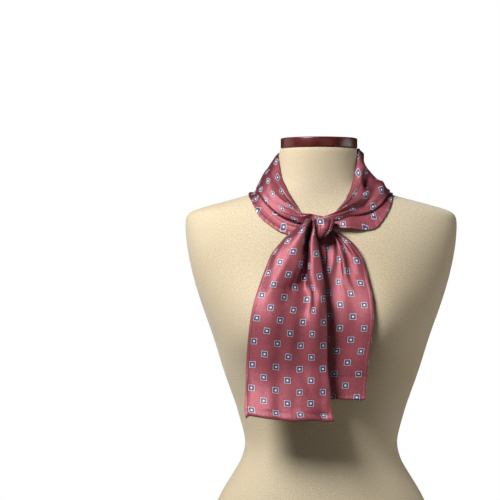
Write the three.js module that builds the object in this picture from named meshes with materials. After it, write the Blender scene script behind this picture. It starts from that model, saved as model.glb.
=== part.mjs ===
// A silk cravat tied once at the throat, worn on a padded dress form with a wooden neck cap.
// Millimetres. +Z is up and -Y is the front. The origin is on the floor under the middle of the form.
import * as THREE from "three";

// Driving sizes
const FLAT_WIDTH = 124; // the cravat's cut width, hem to hem
const CLOTH = 1.2; // thickness of the silk with its turned hems
const SEAM_GAP = 0.4; // kept between pieces that lie on each other
const NECK_TOP = 665; // height of the form's neck, where the cap sits
const CAP_RADIUS = 57.5;
const CAP_HEIGHT = 15;
const CAP_BEVEL = 1.6;
const CAP_GAP = 0.3;
const NECK_LEAN = -3; // how far the neck stands to the form's right of the body's middle
const NECK_AXIS_Y = 4; // the neck's own middle, a little behind the form's
const FORM_SEGMENTS = 40;
const SEARCH_STEPS = 24; // halvings, which find a place to far less than 0.01 mm

// Each table is read through its named columns, and runs smoothly from row to row.
function table(columns, rows) {
  const places = rows.map((row) => row[0]);
  const slopes = columns.map((_, c) => {
    const rise = rows.slice(1).map((row, i) => (row[c] - rows[i][c]) / (places[i + 1] - places[i]));
    return rows.map((_, i) => {
      if (i === 0) return rise[0];
      if (i === rows.length - 1) return rise[i - 1];
      const turns = rise[i - 1] * rise[i] <= 0;
      return turns ? 0 : (2 * rise[i - 1] * rise[i]) / (rise[i - 1] + rise[i]);
    });
  });
  return (column, place) => {
    const c = columns.indexOf(column);
    const x = Math.min(Math.max(place, places[0]), places.at(-1));
    let i = places.findIndex((p) => p > x) - 1;
    if (i < 0) i = places.length - 2;
    const span = places[i + 1] - places[i];
    const t = (x - places[i]) / span;
    const a = rows[i][c];
    const b = rows[i + 1][c];
    const soft = t * t * (3 - 2 * t);
    const leave = t * (1 - t) * (1 - t) * span * slopes[c][i];
    const arrive = t * t * (1 - t) * span * slopes[c][i + 1];
    return a + (b - a) * soft + leave - arrive;
  };
}

const smooth = (from, to, x) => {
  const t = Math.min(Math.max((x - from) / (to - from), 0), 1);
  return t * t * (3 - 2 * t);
};
const mix = (a, b, t) => a + (b - a) * t;
const bell = (x, middle, width) => Math.exp(-(((x - middle) / width) ** 2));

// The dress form, as level sections: half its width, and how far it comes forward and goes back.
const torso = table(
  ["height", "halfWidth", "front", "back", "power"],
  [
    [0, 182, 100, 114, 2.3],
    [5, 187, 104, 118, 2.3],
    [45, 186, 108, 121, 2.3],
    [90, 174, 106, 117, 2.3],
    [125, 161, 101, 108, 2.3],
    [150, 149.5, 96.5, 98, 2.25],
    [180, 131, 91, 86, 2.2],
    [205, 117, 87, 78, 2.2],
    [228, 113, 86, 74, 2.2],
    [250, 118.5, 86, 74, 2.2],
    [280, 127, 89, 76, 2.2],
    [330, 145, 96, 83, 2.3],
    [385, 162, 104, 93, 2.35],
    [435, 180, 106, 100, 2.4],
    [475, 192, 101, 103, 2.45],
    [516, 200.5, 92, 101, 2.45],
    [540, 203, 83, 96, 2.4],
    [553, 203.5, 77, 92, 2.3],
    [563, 202, 72, 88, 2.2],
    [571, 195.5, 68, 85, 2.1],
    [579, 170, 65, 81, 2.05],
    [588, 136, 62.5, 77, 2],
    [595, 110, 61, 74, 2],
    [602, 88, 60.5, 71, 2],
    [609, 75, 60, 68.5, 2],
    [618, 68, 59.5, 66, 2],
    [630, 64, 59, 63.5, 2],
    [648, 61, 58.5, 60.5, 2],
    [660, 59.5, 58, 58.5, 2],
    [NECK_TOP, 57.5, 56.5, 57, 2],
  ],
);
const BUST_HEIGHT = 398;
const BUST_FORWARD = 34;
const BUST_APART = 84; // each cup's middle from the form's middle
const BUST_SPREAD = 56;
const BUST_ABOVE = 74; // the cups run out slowly above and sooner below
const BUST_BELOW = 48;

const lean = (z) => NECK_LEAN * smooth(575, 640, z);
const bustForward = (x, z) => {
  const level = bell(z, BUST_HEIGHT, z > BUST_HEIGHT ? BUST_ABOVE : BUST_BELOW);
  return BUST_FORWARD * level * (bell(x, BUST_APART, BUST_SPREAD) + bell(x, -BUST_APART, BUST_SPREAD));
};

// Where the form's front stands at a place seen from the front, as a distance forward.
function formFront(x, z) {
  const share = Math.min(Math.abs(x) / torso("halfWidth", z), 1);
  const power = torso("power", z);
  const depth = (1 - share ** power) ** (1 / power);
  return torso("front", z) * depth + bustForward(x, z) * smooth(0, 0.55, depth);
}

// A point of the form's skin, at a height and a turn round it.
function formPoint(turn, z) {
  const power = 2 / torso("power", z);
  const side = Math.sign(Math.cos(turn)) * Math.abs(Math.cos(turn)) ** power;
  const depth = Math.sign(Math.sin(turn)) * Math.abs(Math.sin(turn)) ** power;
  const x = torso("halfWidth", z) * side + lean(z);
  if (depth >= 0) return new THREE.Vector3(x, torso("back", z) * depth, z);
  return new THREE.Vector3(x, torso("front", z) * depth - bustForward(x, z) * smooth(0, 0.55, -depth), z);
}

// Under 0 inside the form's shoulders and neck, 0 on their skin, and over 0 outside.
function outside(p) {
  const power = torso("power", p.z);
  const depth = torso(p.y < 0 ? "front" : "back", p.z);
  const aside = Math.abs(p.x - lean(p.z)) / torso("halfWidth", p.z);
  const share = aside ** power + (Math.abs(p.y) / depth) ** power;
  return share ** (1 / power) - 1;
}

// The last place of a search that is inside, between one that is and one that isn't.
function edgeBetween(low, high, isInside) {
  for (let step = 0; step < SEARCH_STEPS; step++) {
    const middle = (low + high) / 2;
    if (isInside(middle)) low = middle;
    else high = middle;
  }
  return low;
}

// How high the form's shoulders and neck stand over a point of the plan.
function formTop(x, y) {
  return edgeBetween(500, NECK_TOP, (z) => outside(new THREE.Vector3(x, y, z)) < 0);
}

// The point moved out along the form's skin normal until it is that far off the skin.
function standOff(p, gap) {
  const h = 0.5;
  const moved = p.clone();
  for (let pass = 0; pass < 3; pass++) {
    const here = outside(moved);
    const rise = (x, y, z) => {
      const step = new THREE.Vector3(x, y, z).multiplyScalar(h);
      return (outside(moved.clone().add(step)) - outside(moved.clone().sub(step))) / (2 * h);
    };
    const slope = new THREE.Vector3(rise(1, 0, 0), rise(0, 1, 0), rise(0, 0, 1));
    const steep = slope.length();
    moved.addScaledVector(slope, (gap - here / steep) / steep);
  }
  return moved;
}

// How far the form's neck and shoulders reach from the neck's axis, at a turn and a height.
function formReach(turn, z) {
  return edgeBetween(20, 230, (reach) => outside(loopPoint(turn, reach, z)) < 0);
}

// A closed geometry from points and triangles, turned to face outwards.
function closedGeometry(points, triangles) {
  let volume = 0;
  for (const [a, b, c] of triangles) {
    volume += points[a].dot(new THREE.Vector3().crossVectors(points[b], points[c]));
  }
  const order = volume < 0 ? triangles.map(([a, b, c]) => [a, c, b]) : triangles;
  const geometry = new THREE.BufferGeometry();
  geometry.setAttribute("position", new THREE.Float32BufferAttribute(points.flatMap((p) => p.toArray()), 3));
  geometry.setIndex(order.flat());
  return geometry;
}

// A solid skinned over rings that lie over each other, closed by a point in the first and the last.
function skinned(rings) {
  const count = rings[0].length;
  const points = rings.flat();
  const triangles = [];
  for (let r = 0; r + 1 < rings.length; r++) {
    for (let i = 0; i < count; i++) {
      const a = r * count + i;
      const b = r * count + ((i + 1) % count);
      triangles.push([a, b, b + count], [a, b + count, a + count]);
    }
  }
  for (const [first, flip] of [[0, true], [(rings.length - 1) * count, false]]) {
    const middle = points.length;
    const sum = new THREE.Vector3();
    for (let i = 0; i < count; i++) sum.add(points[first + i]);
    points.push(sum.divideScalar(count));
    for (let i = 0; i < count; i++) {
      const a = first + i;
      const b = first + ((i + 1) % count);
      triangles.push(flip ? [middle, b, a] : [middle, a, b]);
    }
  }
  return closedGeometry(points, triangles);
}

// A wall of cloth: rows of points on its outer face, the same points moved by the cloth's thickness along
// the way that a row's right hand gives, and a rim. joined says that each row closes on itself, as a loop does.
function clothWall(rows, thickness, joined = false) {
  const high = rows.length;
  const wide = rows[0].length;
  const pick = (j, i) => {
    const row = rows[Math.min(Math.max(j, 0), high - 1)];
    return row[joined ? (i + wide) % wide : Math.min(Math.max(i, 0), wide - 1)];
  };
  const outer = rows.flat();
  const inner = [];
  for (let j = 0; j < high; j++) {
    for (let i = 0; i < wide; i++) {
      const along = new THREE.Vector3().subVectors(pick(j + 1, i), pick(j - 1, i));
      const across = new THREE.Vector3().subVectors(pick(j, i + 1), pick(j, i - 1));
      const normal = new THREE.Vector3().crossVectors(along, across).normalize();
      inner.push(pick(j, i).clone().addScaledVector(normal, thickness));
    }
  }
  const points = [...outer, ...inner];
  const under = outer.length;
  const triangles = [];
  const last = joined ? wide : wide - 1;
  const at = (j, i) => j * wide + (i % wide);
  for (let j = 0; j + 1 < high; j++) {
    for (let i = 0; i < last; i++) {
      const [a, b, c, d] = [at(j, i), at(j, i + 1), at(j + 1, i + 1), at(j + 1, i)];
      triangles.push([a, b, c], [a, c, d]);
      triangles.push([under + a, under + c, under + b], [under + a, under + d, under + c]);
    }
  }
  const rim = (a, b) => triangles.push([b, a, under + a], [b, under + a, under + b]);
  for (let i = 0; i < last; i++) {
    rim(at(0, i), at(0, i + 1));
    rim(at(high - 1, i + 1), at(high - 1, i));
  }
  if (!joined) {
    for (let j = 0; j + 1 < high; j++) {
      rim(at(j + 1, 0), at(j, 0));
      rim(at(j, wide - 1), at(j + 1, wide - 1));
    }
  }
  return closedGeometry(points, triangles);
}

// The dress form's padded body, from its flat foot to the top of the neck.
function dressForm() {
  const heights = [0, 5, 24, 45, 68, 90, 108, 125, 150, 165, 180, 205, 228, 250, 280, 305, 330, 358, 385, 410,
    435, 455, 475, 496, 516, 540, 553, 563, 571, 579, 588, 595, 602, 609, 618, 630, 648, 660, NECK_TOP];
  const rings = heights.map((z) =>
    Array.from({ length: FORM_SEGMENTS }, (_, i) => formPoint((2 * Math.PI * i) / FORM_SEGMENTS, z)),
  );
  return skinned(rings);
}

// The turned wooden cap on the neck.
function neckCap() {
  const profile = [
    [0, 0],
    [CAP_RADIUS - CAP_BEVEL, 0],
    [CAP_RADIUS, CAP_BEVEL],
    [CAP_RADIUS, CAP_HEIGHT - CAP_BEVEL],
    [CAP_RADIUS - CAP_BEVEL, CAP_HEIGHT],
    [0, CAP_HEIGHT],
  ];
  return new THREE.LatheGeometry(profile.map(([r, h]) => new THREE.Vector2(r, h)), 64).rotateX(Math.PI / 2);
}

// The neck loop, by the turn round the neck from the throat: towards -X first, then the nape, then +X.
// topHeight is its upper edge against the neck. foldReach and hemReach are how far out the upper layer's
// folded edge and the under layer's hem lie, and tuck is how far the under layer runs on inside the fold.
// roll is how far the upper layer bows out between its edges (below 0 it sags in), and lift is how far
// the gathered cloth stands off at the knot.
const loop = table(
  ["turn", "topHeight", "foldReach", "hemReach", "tuck", "roll", "lift"],
  [
    [0, 559, 80, 86, 1, 4, 0.5],
    [10, 559.5, 81, 87, 1.5, 4, 2.5],
    [20, 563, 87, 93, 3, 5, 5],
    [30, 579, 91, 101.5, 6, 5.5, 3],
    [44, 602, 98.5, 111, 10, 5.5, 1],
    [56, 618, 102, 117.5, 12, 5.5, 0],
    [68, 639, 101, 115, 12, 3.5, 0],
    [80, 652, 97, 109.5, 12, 2, 0],
    [92, 657, 95, 105.5, 12, 2.5, 0],
    [120, 661, 92, 101, 12, 5, 0],
    [150, 662, 87, 94, 12, 4.5, 0],
    [180, 662, 81, 87, 10, 4, 0],
    [210, 663, 87, 94, 12, 3, 0],
    [240, 664, 93, 101, 12, -1, 0],
    [270, 664, 99, 105.5, 12, -7, 0],
    [290, 661, 107, 112, 12, -7, 0],
    [303, 642, 110, 118.5, 12, 0, 0],
    [314, 621, 105, 115, 12, 3, 1],
    [325, 600, 95.5, 103.5, 10, 5, 2],
    [334, 584, 88.5, 95.5, 6, 5.5, 4],
    [342, 572, 85, 90.5, 3.5, 5, 6],
    [350, 562, 81, 87, 1.5, 4, 3],
    [360, 559, 80, 86, 1, 4, 0.5],
  ],
);
const REST = 2.4; // how far the cloth's outer face stands off the form where it lies on it
const UNDER_FOLD = 6.4; // the same for the upper layer's folded edge, which lies on the under layer
const LOOP_STEPS = 64;
const degrees = (turn) => (turn * 180) / Math.PI;

// Creases that fan out from the knot into the upper layer: where they start across it, how they drift,
// how deep they are, and the turns between which they fade.
const loopCreases = [
  { across: 0.3, drift: 0.12, deep: 2.6, wide: 0.1, from: 12, to: 74 },
  { across: 0.62, drift: -0.1, deep: 2.2, wide: 0.09, from: 10, to: 60 },
  { across: 0.45, drift: 0.2, deep: 2.8, wide: 0.1, from: 348, to: 292 },
  { across: 0.72, drift: -0.08, deep: 2.2, wide: 0.08, from: 350, to: 306 },
];

// Hollows pressed into the upper layer, by the turn and the place across it.
const loopHollows = [
  { turn: 306, across: 0.36, wide: 7, high: 0.14, deep: 6 },
  { turn: 296, across: 0.56, wide: 8, high: 0.14, deep: 4 },
  { turn: 283, across: 0.34, wide: 8, high: 0.12, deep: 3 },
  { turn: 62, across: 0.72, wide: 16, high: 0.14, deep: 2 },
];

function loopPoint(turn, reach, z) {
  return new THREE.Vector3(-reach * Math.sin(turn), NECK_AXIS_Y - reach * Math.cos(turn), z);
}

// A point of the loop's upper layer, from its top edge at 0 to its folded edge at 1.
function upperLayer(turn, across) {
  const deg = degrees(turn);
  const topZ = loop("topHeight", deg);
  const top = standOff(loopPoint(turn, formReach(turn, topZ), topZ), REST + SEAM_GAP);
  const plan = loopPoint(turn, loop("foldReach", deg), 0);
  const fold = standOff(new THREE.Vector3(plan.x, plan.y, formTop(plan.x, plan.y)), UNDER_FOLD);
  const roll = loop("roll", deg) * Math.sin(Math.PI * across) ** 0.8;
  let crease = 0;
  for (const c of loopCreases) {
    const run = (deg - c.from) / (c.to - c.from);
    if (run < 0 || run > 1) continue;
    crease -= c.deep * (1 - run) * bell(across, c.across + c.drift * run, c.wide + 0.06 * run);
  }
  for (const h of loopHollows) {
    crease -= h.deep * bell(deg, h.turn, h.wide) * bell(across, h.across, h.high);
  }
  const lift = loop("lift", deg) * Math.sin(Math.PI * Math.min(0.15 + 0.8 * across, 1));
  const slant = new THREE.Vector3().subVectors(fold, top).normalize();
  const round = new THREE.Vector3(Math.cos(turn), -Math.sin(turn), 0);
  const off = new THREE.Vector3().crossVectors(slant, round).normalize();
  return top.lerp(fold, across).addScaledVector(off, roll + crease + lift);
}

// A point of the under layer, from inside the upper layer's fold at 0 to its own hem at 1.
function underLayer(turn, across) {
  const deg = degrees(turn);
  const reach = mix(loop("foldReach", deg) - loop("tuck", deg), loop("hemReach", deg), across);
  const plan = loopPoint(turn, reach, 0);
  return standOff(new THREE.Vector3(plan.x, plan.y, formTop(plan.x, plan.y)), REST);
}

function neckLoop(layer, steps) {
  const rows = steps.map((across) =>
    Array.from({ length: LOOP_STEPS }, (_, i) => layer((2 * Math.PI * i) / LOOP_STEPS, across)),
  );
  return clothWall(rows, CLOTH, true);
}

// The folds of a hanging end, each a ridge towards the eye or a valley away from it (swing below 0), by where
// it lies across the flat cloth, how far it drifts as it dies out, how wide it is, how far the cloth's slope
// swings, the heights between which it dies out and the share that is left. edges are strips along the side
// hems that turn away to the back.
function slopeAcross(folds, edges, s, z) {
  let slope = 0;
  for (const edge of edges) {
    slope += edge.swing * smooth(edge.from, edge.full, s) * smooth(edge.starts, edge.fullUp, z);
  }
  for (const fold of folds) {
    const alive = smooth(fold.ends, fold.starts, z);
    const u = (s - fold.across - fold.drift * (1 - alive)) / fold.wide;
    slope -= fold.swing * mix(fold.low, 1, alive) * u * Math.exp(0.5 * (1 - u * u));
  }
  return slope;
}

const STEEPEST = 1.2; // radians, well short of upright, so that the wall never crosses itself
const MOST_SCALED = 12;

// One level section of a hanging end: its slopes are scaled until the folded cloth spans the width there.
function foldedSection(folds, edges, z, width, steps) {
  const step = FLAT_WIDTH / steps;
  const slopes = Array.from({ length: steps }, (_, i) => slopeAcross(folds, edges, step * (i + 0.5), z));
  const angle = (slope, scale) => STEEPEST * Math.tanh((slope * scale) / STEEPEST);
  const spanOf = (scale) => slopes.reduce((sum, slope) => sum + step * Math.cos(angle(slope, scale)), 0);
  const scale = edgeBetween(0, MOST_SCALED, (tried) => spanOf(tried) > width);
  const across = [0];
  const out = [0];
  for (const slope of slopes) {
    across.push(across.at(-1) + step * Math.cos(angle(slope, scale)));
    out.push(out.at(-1) + step * Math.sin(angle(slope, scale)));
  }
  const tilt = out.at(-1);
  const level = out.map((o, i) => o - (tilt * i) / steps);
  const deepest = Math.min(...level);
  const squeeze = width / across.at(-1); // under 1 only where more cloth is gathered than the folds can hold
  return across.map((a, i) => ({ across: a * squeeze, out: (level[i] - deepest) * squeeze }));
}

// The field of distances with its kinks eased, as cloth bridges a sharp turn in what is behind it.
function eased(field) {
  const within = (i, count) => Math.min(Math.max(i, 0), count - 1);
  const at = (j, i) => field[within(j, field.length)][within(i, field[0].length)];
  const level = (j, i) => (at(j, i - 1) + 2 * at(j, i) + at(j, i + 1)) / 4;
  return field.map((row, j) => row.map((_, i) => (level(j - 1, i) + 2 * level(j, i) + level(j + 1, i)) / 4));
}

const END_STEPS = 36;
const HEM_REACH = 60; // how far up a hem's own line is felt

// A hanging end of the cravat, from its top row at the knot to its hem. It goes forward to clear what is
// behind it, hangs back a little as it falls, and its hem flares out again. hemRise says how much higher
// than the lowest place the hem is, and depthAt is the share of its folds' depth kept at a spot and a height.
function hangingEnd(end) {
  const { outline, folds, edges, heights, clearOf, hemRise, depthAt, swingBack, flare, flareReach } = end;
  const hem = heights.at(-1);
  const rows = heights.map((z) => {
    const left = outline("left", z);
    const width = outline("right", z) - left;
    const full = outline("full", z);
    const nearHem = smooth(hem + HEM_REACH, hem, z);
    return foldedSection(folds, edges, z, width, END_STEPS).map((p, i) => {
      const s = (FLAT_WIDTH * i) / END_STEPS;
      return { x: left + p.across, z: z + nearHem * hemRise(s), out: full * depthAt(s, z) * p.out };
    });
  });
  const ahead = rows.map((row, j) => row.map((p) => clearOf(p.x, heights[j])));
  for (let j = 1; j < rows.length; j++) {
    const drop = heights[j - 1] - heights[j];
    for (let i = 0; i < rows[j].length; i++) {
      ahead[j][i] = Math.max(ahead[j][i], ahead[j - 1][i] - swingBack * drop);
    }
  }
  const reach = eased(ahead);
  return rows.map((row, j) => {
    const further = flare * Math.max(1 - (heights[j] - hem) / flareReach, 0) ** 2;
    return row.map((p, i) => new THREE.Vector3(p.x, -(reach[j][i] + p.out + further), p.z));
  });
}

// The end behind, on +X: its side edges as seen from the front, and the share of its folds' full depth
// that the pressed cloth keeps. Its top is flattened behind the knot.
const backOutline = table(
  ["height", "left", "right", "full"],
  [
    [296, -66, 59.5, 0.62],
    [331, -62, 62, 0.62],
    [358, -56, 64, 0.62],
    [386, -49, 68, 0.62],
    [417, -41, 71, 0.62],
    [444, -34, 69.5, 0.62],
    [472, -27, 64, 0.62],
    [499, -22, 57.5, 0.62],
    [514, -18, 50.5, 0.6],
    [523, -15, 43.5, 0.5],
    [531, -13, 34, 0.4],
    [536, -12, 26, 0.35],
    [540, -10, 18, 0.3],
    [546, -8, 14, 0.3],
  ],
);
const backFolds = [
  { across: 12, drift: 0, wide: 7, swing: 1.9, starts: 520, ends: 430, low: 0.6 },
  { across: 28, drift: 0, wide: 7, swing: -2.2, starts: 520, ends: 430, low: 0.6 },
  { across: 44, drift: 0, wide: 7, swing: 2.2, starts: 520, ends: 410, low: 0.4 },
  { across: 60, drift: 0, wide: 8, swing: -1.6, starts: 515, ends: 425, low: 0.2 },
  { across: 75, drift: 0, wide: 6.5, swing: -1.6, starts: 515, ends: 425, low: 0.12 },
  { across: 101, drift: 0, wide: 14, swing: 0.9, starts: 520, ends: 430, low: 0.08 },
];
const backEdges = [{ from: 115, full: 120, swing: -1.2, starts: 465, fullUp: 505 }];
const backHeights = [
  546, 543, 540, 537, 533, 529, 524, 518, 511, 503, 494, 484, 473, 461, 448, 434, 420, 404, 388, 372, 354, 336,
  318, 304, 297,
];

const OVER_LOOP = 87; // how far forward the ends' faces are where they lie on the neck loop
const OFF_FORM = 3.9; // how far the ends' backs stay off the form where they touch it
const backClear = (x, z) => Math.max(formFront(x, z) + OFF_FORM, OVER_LOOP * smooth(500, 520, z));
const backRows = hangingEnd({
  outline: backOutline,
  folds: backFolds,
  edges: backEdges,
  heights: backHeights,
  clearOf: backClear,
  hemRise: () => 0,
  depthAt: (s, z) => mix(1, mix(0.3, 1, smooth(68, 84, s)), smooth(455, 500, z)), // flat under the knot
  swingBack: 0.045,
  flare: 2,
  flareReach: 60,
});

// The end in front, on -X.
const frontOutline = table(
  ["height", "left", "right", "full"],
  [
    [268, -111.5, 14, 0.9],
    [281, -113, 10.5, 0.9],
    [295, -113, 7.5, 0.9],
    [322, -112.8, 6.2, 0.9],
    [360, -111.5, 5.4, 0.9],
    [395, -108.5, 5, 0.9],
    [432, -102.5, 3.4, 0.9],
    [468, -91, 0.2, 0.9],
    [487, -84, -2.4, 0.9],
    [506, -76, -4.8, 0.9],
    [523, -62.5, -7.8, 0.88],
    [535, -51.5, -9, 0.82],
    [545, -38.5, -9.8, 0.75],
    [551, -31, -11, 0.75],
    [558, -24, -12.5, 0.7],
  ],
);
const frontFolds = [
  { across: 45, drift: -6, wide: 17, swing: 0.5, starts: 520, ends: 430, low: 0.3 },
  { across: 79, drift: -7, wide: 9.5, swing: -3, starts: 508, ends: 452, low: 0.02 },
  { across: 105, drift: 0, wide: 12, swing: 0.7, starts: 520, ends: 400, low: 0.3 },
];
const frontEdges = [
  { from: 24, full: 10, swing: 1.3, starts: 440, fullUp: 520 },
  { from: 116, full: 120.5, swing: -3.2, starts: 270, fullUp: 330 },
];
const frontHeights = [
  558, 554, 549, 544, 538, 531, 523, 515, 506, 496, 485, 473, 460, 446, 432, 417, 402, 386, 369, 352, 334, 316,
  299, 284, 274, 268,
];
const frontHem = table(
  ["across", "rise"],
  [
    [0, 3],
    [5, 7.5],
    [34, 4.5],
    [74, 0],
    [FLAT_WIDTH, 0],
  ],
);

const OVER_BACK_END = 5; // from the back end's outer face to the front end's
const RISE_SLOPE = 0.2; // how steeply the front end rises beside the back end's edge
const BRIDGE_FROM = -135;
const BRIDGE_TO = 90;
const BACK_HEM = backHeights.at(-1);
const BELOW_HEM = 40; // how far under the back end's hem the front end has settled again

// How far forward silk must lie to bridge one row of the back end, at every millimetre across.
function bridged(row) {
  const ahead = [];
  for (let x = BRIDGE_FROM; x <= BRIDGE_TO; x++) {
    let i = row.findIndex((p) => p.x > x);
    if (i < 0) i = row.length - 1;
    i = Math.max(i, 1);
    const [a, b] = [row[i - 1], row[i]];
    const share = Math.min(Math.max((x - a.x) / Math.max(b.x - a.x, 1e-6), 0), 1);
    const beside = Math.max(a.x - x, x - b.x, 0);
    ahead.push(mix(-a.y, -b.y, share) - RISE_SLOPE * beside);
  }
  for (let i = 1; i < ahead.length; i++) ahead[i] = Math.max(ahead[i], ahead[i - 1] - RISE_SLOPE);
  for (let i = ahead.length - 2; i >= 0; i--) ahead[i] = Math.max(ahead[i], ahead[i + 1] - RISE_SLOPE);
  return ahead;
}
const bridges = backRows.map(bridged);

function bridgeAt(bridge, x) {
  const place = Math.min(Math.max(x - BRIDGE_FROM, 0), bridge.length - 1.001);
  const i = Math.floor(place);
  return mix(bridge[i], bridge[i + 1], place - i);
}

function frontClear(x, z) {
  let j = backHeights.findIndex((height) => height <= z);
  if (j < 0) j = backHeights.length - 1;
  j = Math.max(j, 1);
  const [above, below] = [backHeights[j - 1], backHeights[j]];
  const share = Math.min(Math.max((z - below) / (above - below), 0), 1);
  const ahead = mix(bridgeAt(bridges[j], x), bridgeAt(bridges[j - 1], x), share);
  const settled = mix(backClear(x, z), ahead + OVER_BACK_END, smooth(BACK_HEM - BELOW_HEM, BACK_HEM, z));
  return Math.max(backClear(x, z), settled);
}

const frontRows = hangingEnd({
  outline: frontOutline,
  folds: frontFolds,
  edges: frontEdges,
  heights: frontHeights,
  clearOf: frontClear,
  hemRise: (s) => frontHem("rise", s),
  depthAt: () => 1,
  swingBack: 0.15,
  flare: 24,
  flareReach: 90,
});

// The knot, as level sections of the wrap that passes in front: its two sides, and how far forward its
// face and its back are.
const knotShape = table(
  ["height", "left", "right", "front", "back"],
  [
    [529.5, -5, 3, 104, 98],
    [531, -7, 5.5, 107.5, 96.5],
    [536, -8.6, 8.2, 112, 94.5],
    [542, -9.4, 10.5, 114.5, 92.5],
    [547, -9.8, 12.6, 115, 90],
    [550, -9.8, 13.5, 114, 84.5],
    [553, -10.4, 15, 112, 83],
    [558, -11.6, 17, 107, 82.9],
    [561, -12, 17, 101, 83.5],
    [562.5, -9, 13, 96, 87],
  ],
);
const KNOT_SEGMENTS = 28;
const KNOT_SQUARENESS = 0.8; // 1 is an oval section, and under 1 its sides are fuller

function knot() {
  const heights = [529.5, 531, 534, 537, 540, 543, 547, 550, 553, 555.5, 558, 560, 561.5, 562.5];
  const fuller = (part) => Math.sign(part) * Math.abs(part) ** KNOT_SQUARENESS;
  const rings = heights.map((z) => {
    const [left, right] = [knotShape("left", z), knotShape("right", z)];
    const [front, back] = [knotShape("front", z), knotShape("back", z)];
    return Array.from({ length: KNOT_SEGMENTS }, (_, i) => {
      const turn = (2 * Math.PI * i) / KNOT_SEGMENTS;
      const x = (left + right) / 2 + ((right - left) / 2) * fuller(Math.cos(turn));
      return new THREE.Vector3(x, -(front + back) / 2 + ((front - back) / 2) * fuller(Math.sin(turn)), z);
    });
  });
  return skinned(rings);
}

const silk = new THREE.MeshStandardMaterial({ color: 0xab5061, roughness: 0.42, metalness: 0 });
const jersey = new THREE.MeshStandardMaterial({ color: 0xd9c9a0, roughness: 0.9, metalness: 0 });
const mahogany = new THREE.MeshStandardMaterial({ color: 0x4a1214, roughness: 0.3, metalness: 0 });

const cravat = new THREE.Group();
function add(name, geometry, material) {
  const mesh = new THREE.Mesh(geometry, material);
  mesh.name = name;
  cravat.add(mesh);
  return mesh;
}

add("dress_form", dressForm(), jersey);
add("neck_cap", neckCap(), mahogany).position.set(NECK_LEAN, 0, NECK_TOP + CAP_GAP);
add("loop_upper", neckLoop(upperLayer, [0, 0.1, 0.22, 0.35, 0.48, 0.62, 0.76, 0.88, 1]), silk);
add("loop_under", neckLoop(underLayer, [0, 0.35, 0.65, 0.85, 1]), silk);
add("back_end", clothWall(backRows, -CLOTH), silk);
add("front_end", clothWall(frontRows, -CLOTH), silk);
add("knot", knot(), silk);

export default cravat;
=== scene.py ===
# %% [markdown]
# A silk cravat, tied once at the throat of a padded dress form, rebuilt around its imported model.
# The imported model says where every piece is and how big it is. This file makes the surfaces: the
# stretched jersey and the varnished cap of the form, and the silk, with its folds, its rolled hems
# and its woven squares.

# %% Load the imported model
import bisect
import math

import bmesh
import bpy
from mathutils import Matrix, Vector, noise


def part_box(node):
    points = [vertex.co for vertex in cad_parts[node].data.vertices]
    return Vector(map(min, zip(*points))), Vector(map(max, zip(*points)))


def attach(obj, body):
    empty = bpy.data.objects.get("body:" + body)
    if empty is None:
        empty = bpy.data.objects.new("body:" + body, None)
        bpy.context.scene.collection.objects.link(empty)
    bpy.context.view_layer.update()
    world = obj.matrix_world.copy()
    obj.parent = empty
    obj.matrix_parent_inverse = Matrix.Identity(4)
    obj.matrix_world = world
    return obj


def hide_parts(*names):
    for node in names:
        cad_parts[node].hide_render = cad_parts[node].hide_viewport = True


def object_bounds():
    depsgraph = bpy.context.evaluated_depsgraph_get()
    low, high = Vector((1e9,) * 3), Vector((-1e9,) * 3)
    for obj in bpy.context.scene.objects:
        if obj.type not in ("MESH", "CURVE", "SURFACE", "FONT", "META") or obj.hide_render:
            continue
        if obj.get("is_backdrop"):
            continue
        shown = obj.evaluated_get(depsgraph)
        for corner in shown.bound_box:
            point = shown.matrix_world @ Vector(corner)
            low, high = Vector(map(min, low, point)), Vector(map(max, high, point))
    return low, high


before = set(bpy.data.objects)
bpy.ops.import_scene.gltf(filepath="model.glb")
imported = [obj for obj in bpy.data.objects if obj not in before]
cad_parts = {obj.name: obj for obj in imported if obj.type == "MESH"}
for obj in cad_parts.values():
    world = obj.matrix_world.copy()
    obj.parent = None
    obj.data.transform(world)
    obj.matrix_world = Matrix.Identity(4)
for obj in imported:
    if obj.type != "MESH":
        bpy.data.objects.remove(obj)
cad_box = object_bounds()
print("nodes:", ", ".join(sorted(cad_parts)))

# %% [markdown]
# Every size below is in millimetres, as a cutter would write it, and becomes metres when a mesh is
# filled in. Shapes such as a neck or a shoulder change slowly from one height to the next. They
# could be typed in point by point, but a short table that is read smoothly between its rows says
# the same in a few lines.

# %% Small helpers for smooth shapes
MM = 0.001


def smooth(start, end, x):
    t = min(max((x - start) / (end - start), 0.0), 1.0)
    return t * t * (3 - 2 * t)


def mix(a, b, t):
    return a + (b - a) * t


def bell(x, middle, width):
    return math.exp(-(((x - middle) / width) ** 2))


print("a bell stands", round(bell(1, 0, 1), 2), "high at one width from its middle")


# %% Read a short table smoothly
def table(columns, rows):
    """Returns read(column, place), which runs smoothly through the rows and never overshoots them."""
    places = [row[0] for row in rows]
    slopes = {}
    for c, name in enumerate(columns):
        rise = [(b[c] - a[c]) / (b[0] - a[0]) for a, b in zip(rows, rows[1:])]
        inner = [0.0 if a * b <= 0 else 2 * a * b / (a + b) for a, b in zip(rise, rise[1:])]
        slopes[name] = [rise[0], *inner, rise[-1]]

    def read(column, place):
        c = columns.index(column)
        x = min(max(place, places[0]), places[-1])
        i = min(bisect.bisect_right(places, x), len(places) - 1) - 1
        span = places[i + 1] - places[i]
        t = (x - places[i]) / span
        soft = t * t * (3 - 2 * t)
        leave = t * (1 - t) ** 2 * span * slopes[column][i]
        arrive = t * t * (1 - t) * span * slopes[column][i + 1]
        return mix(rows[i][c], rows[i + 1][c], soft) + leave - arrive

    return read


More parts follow.
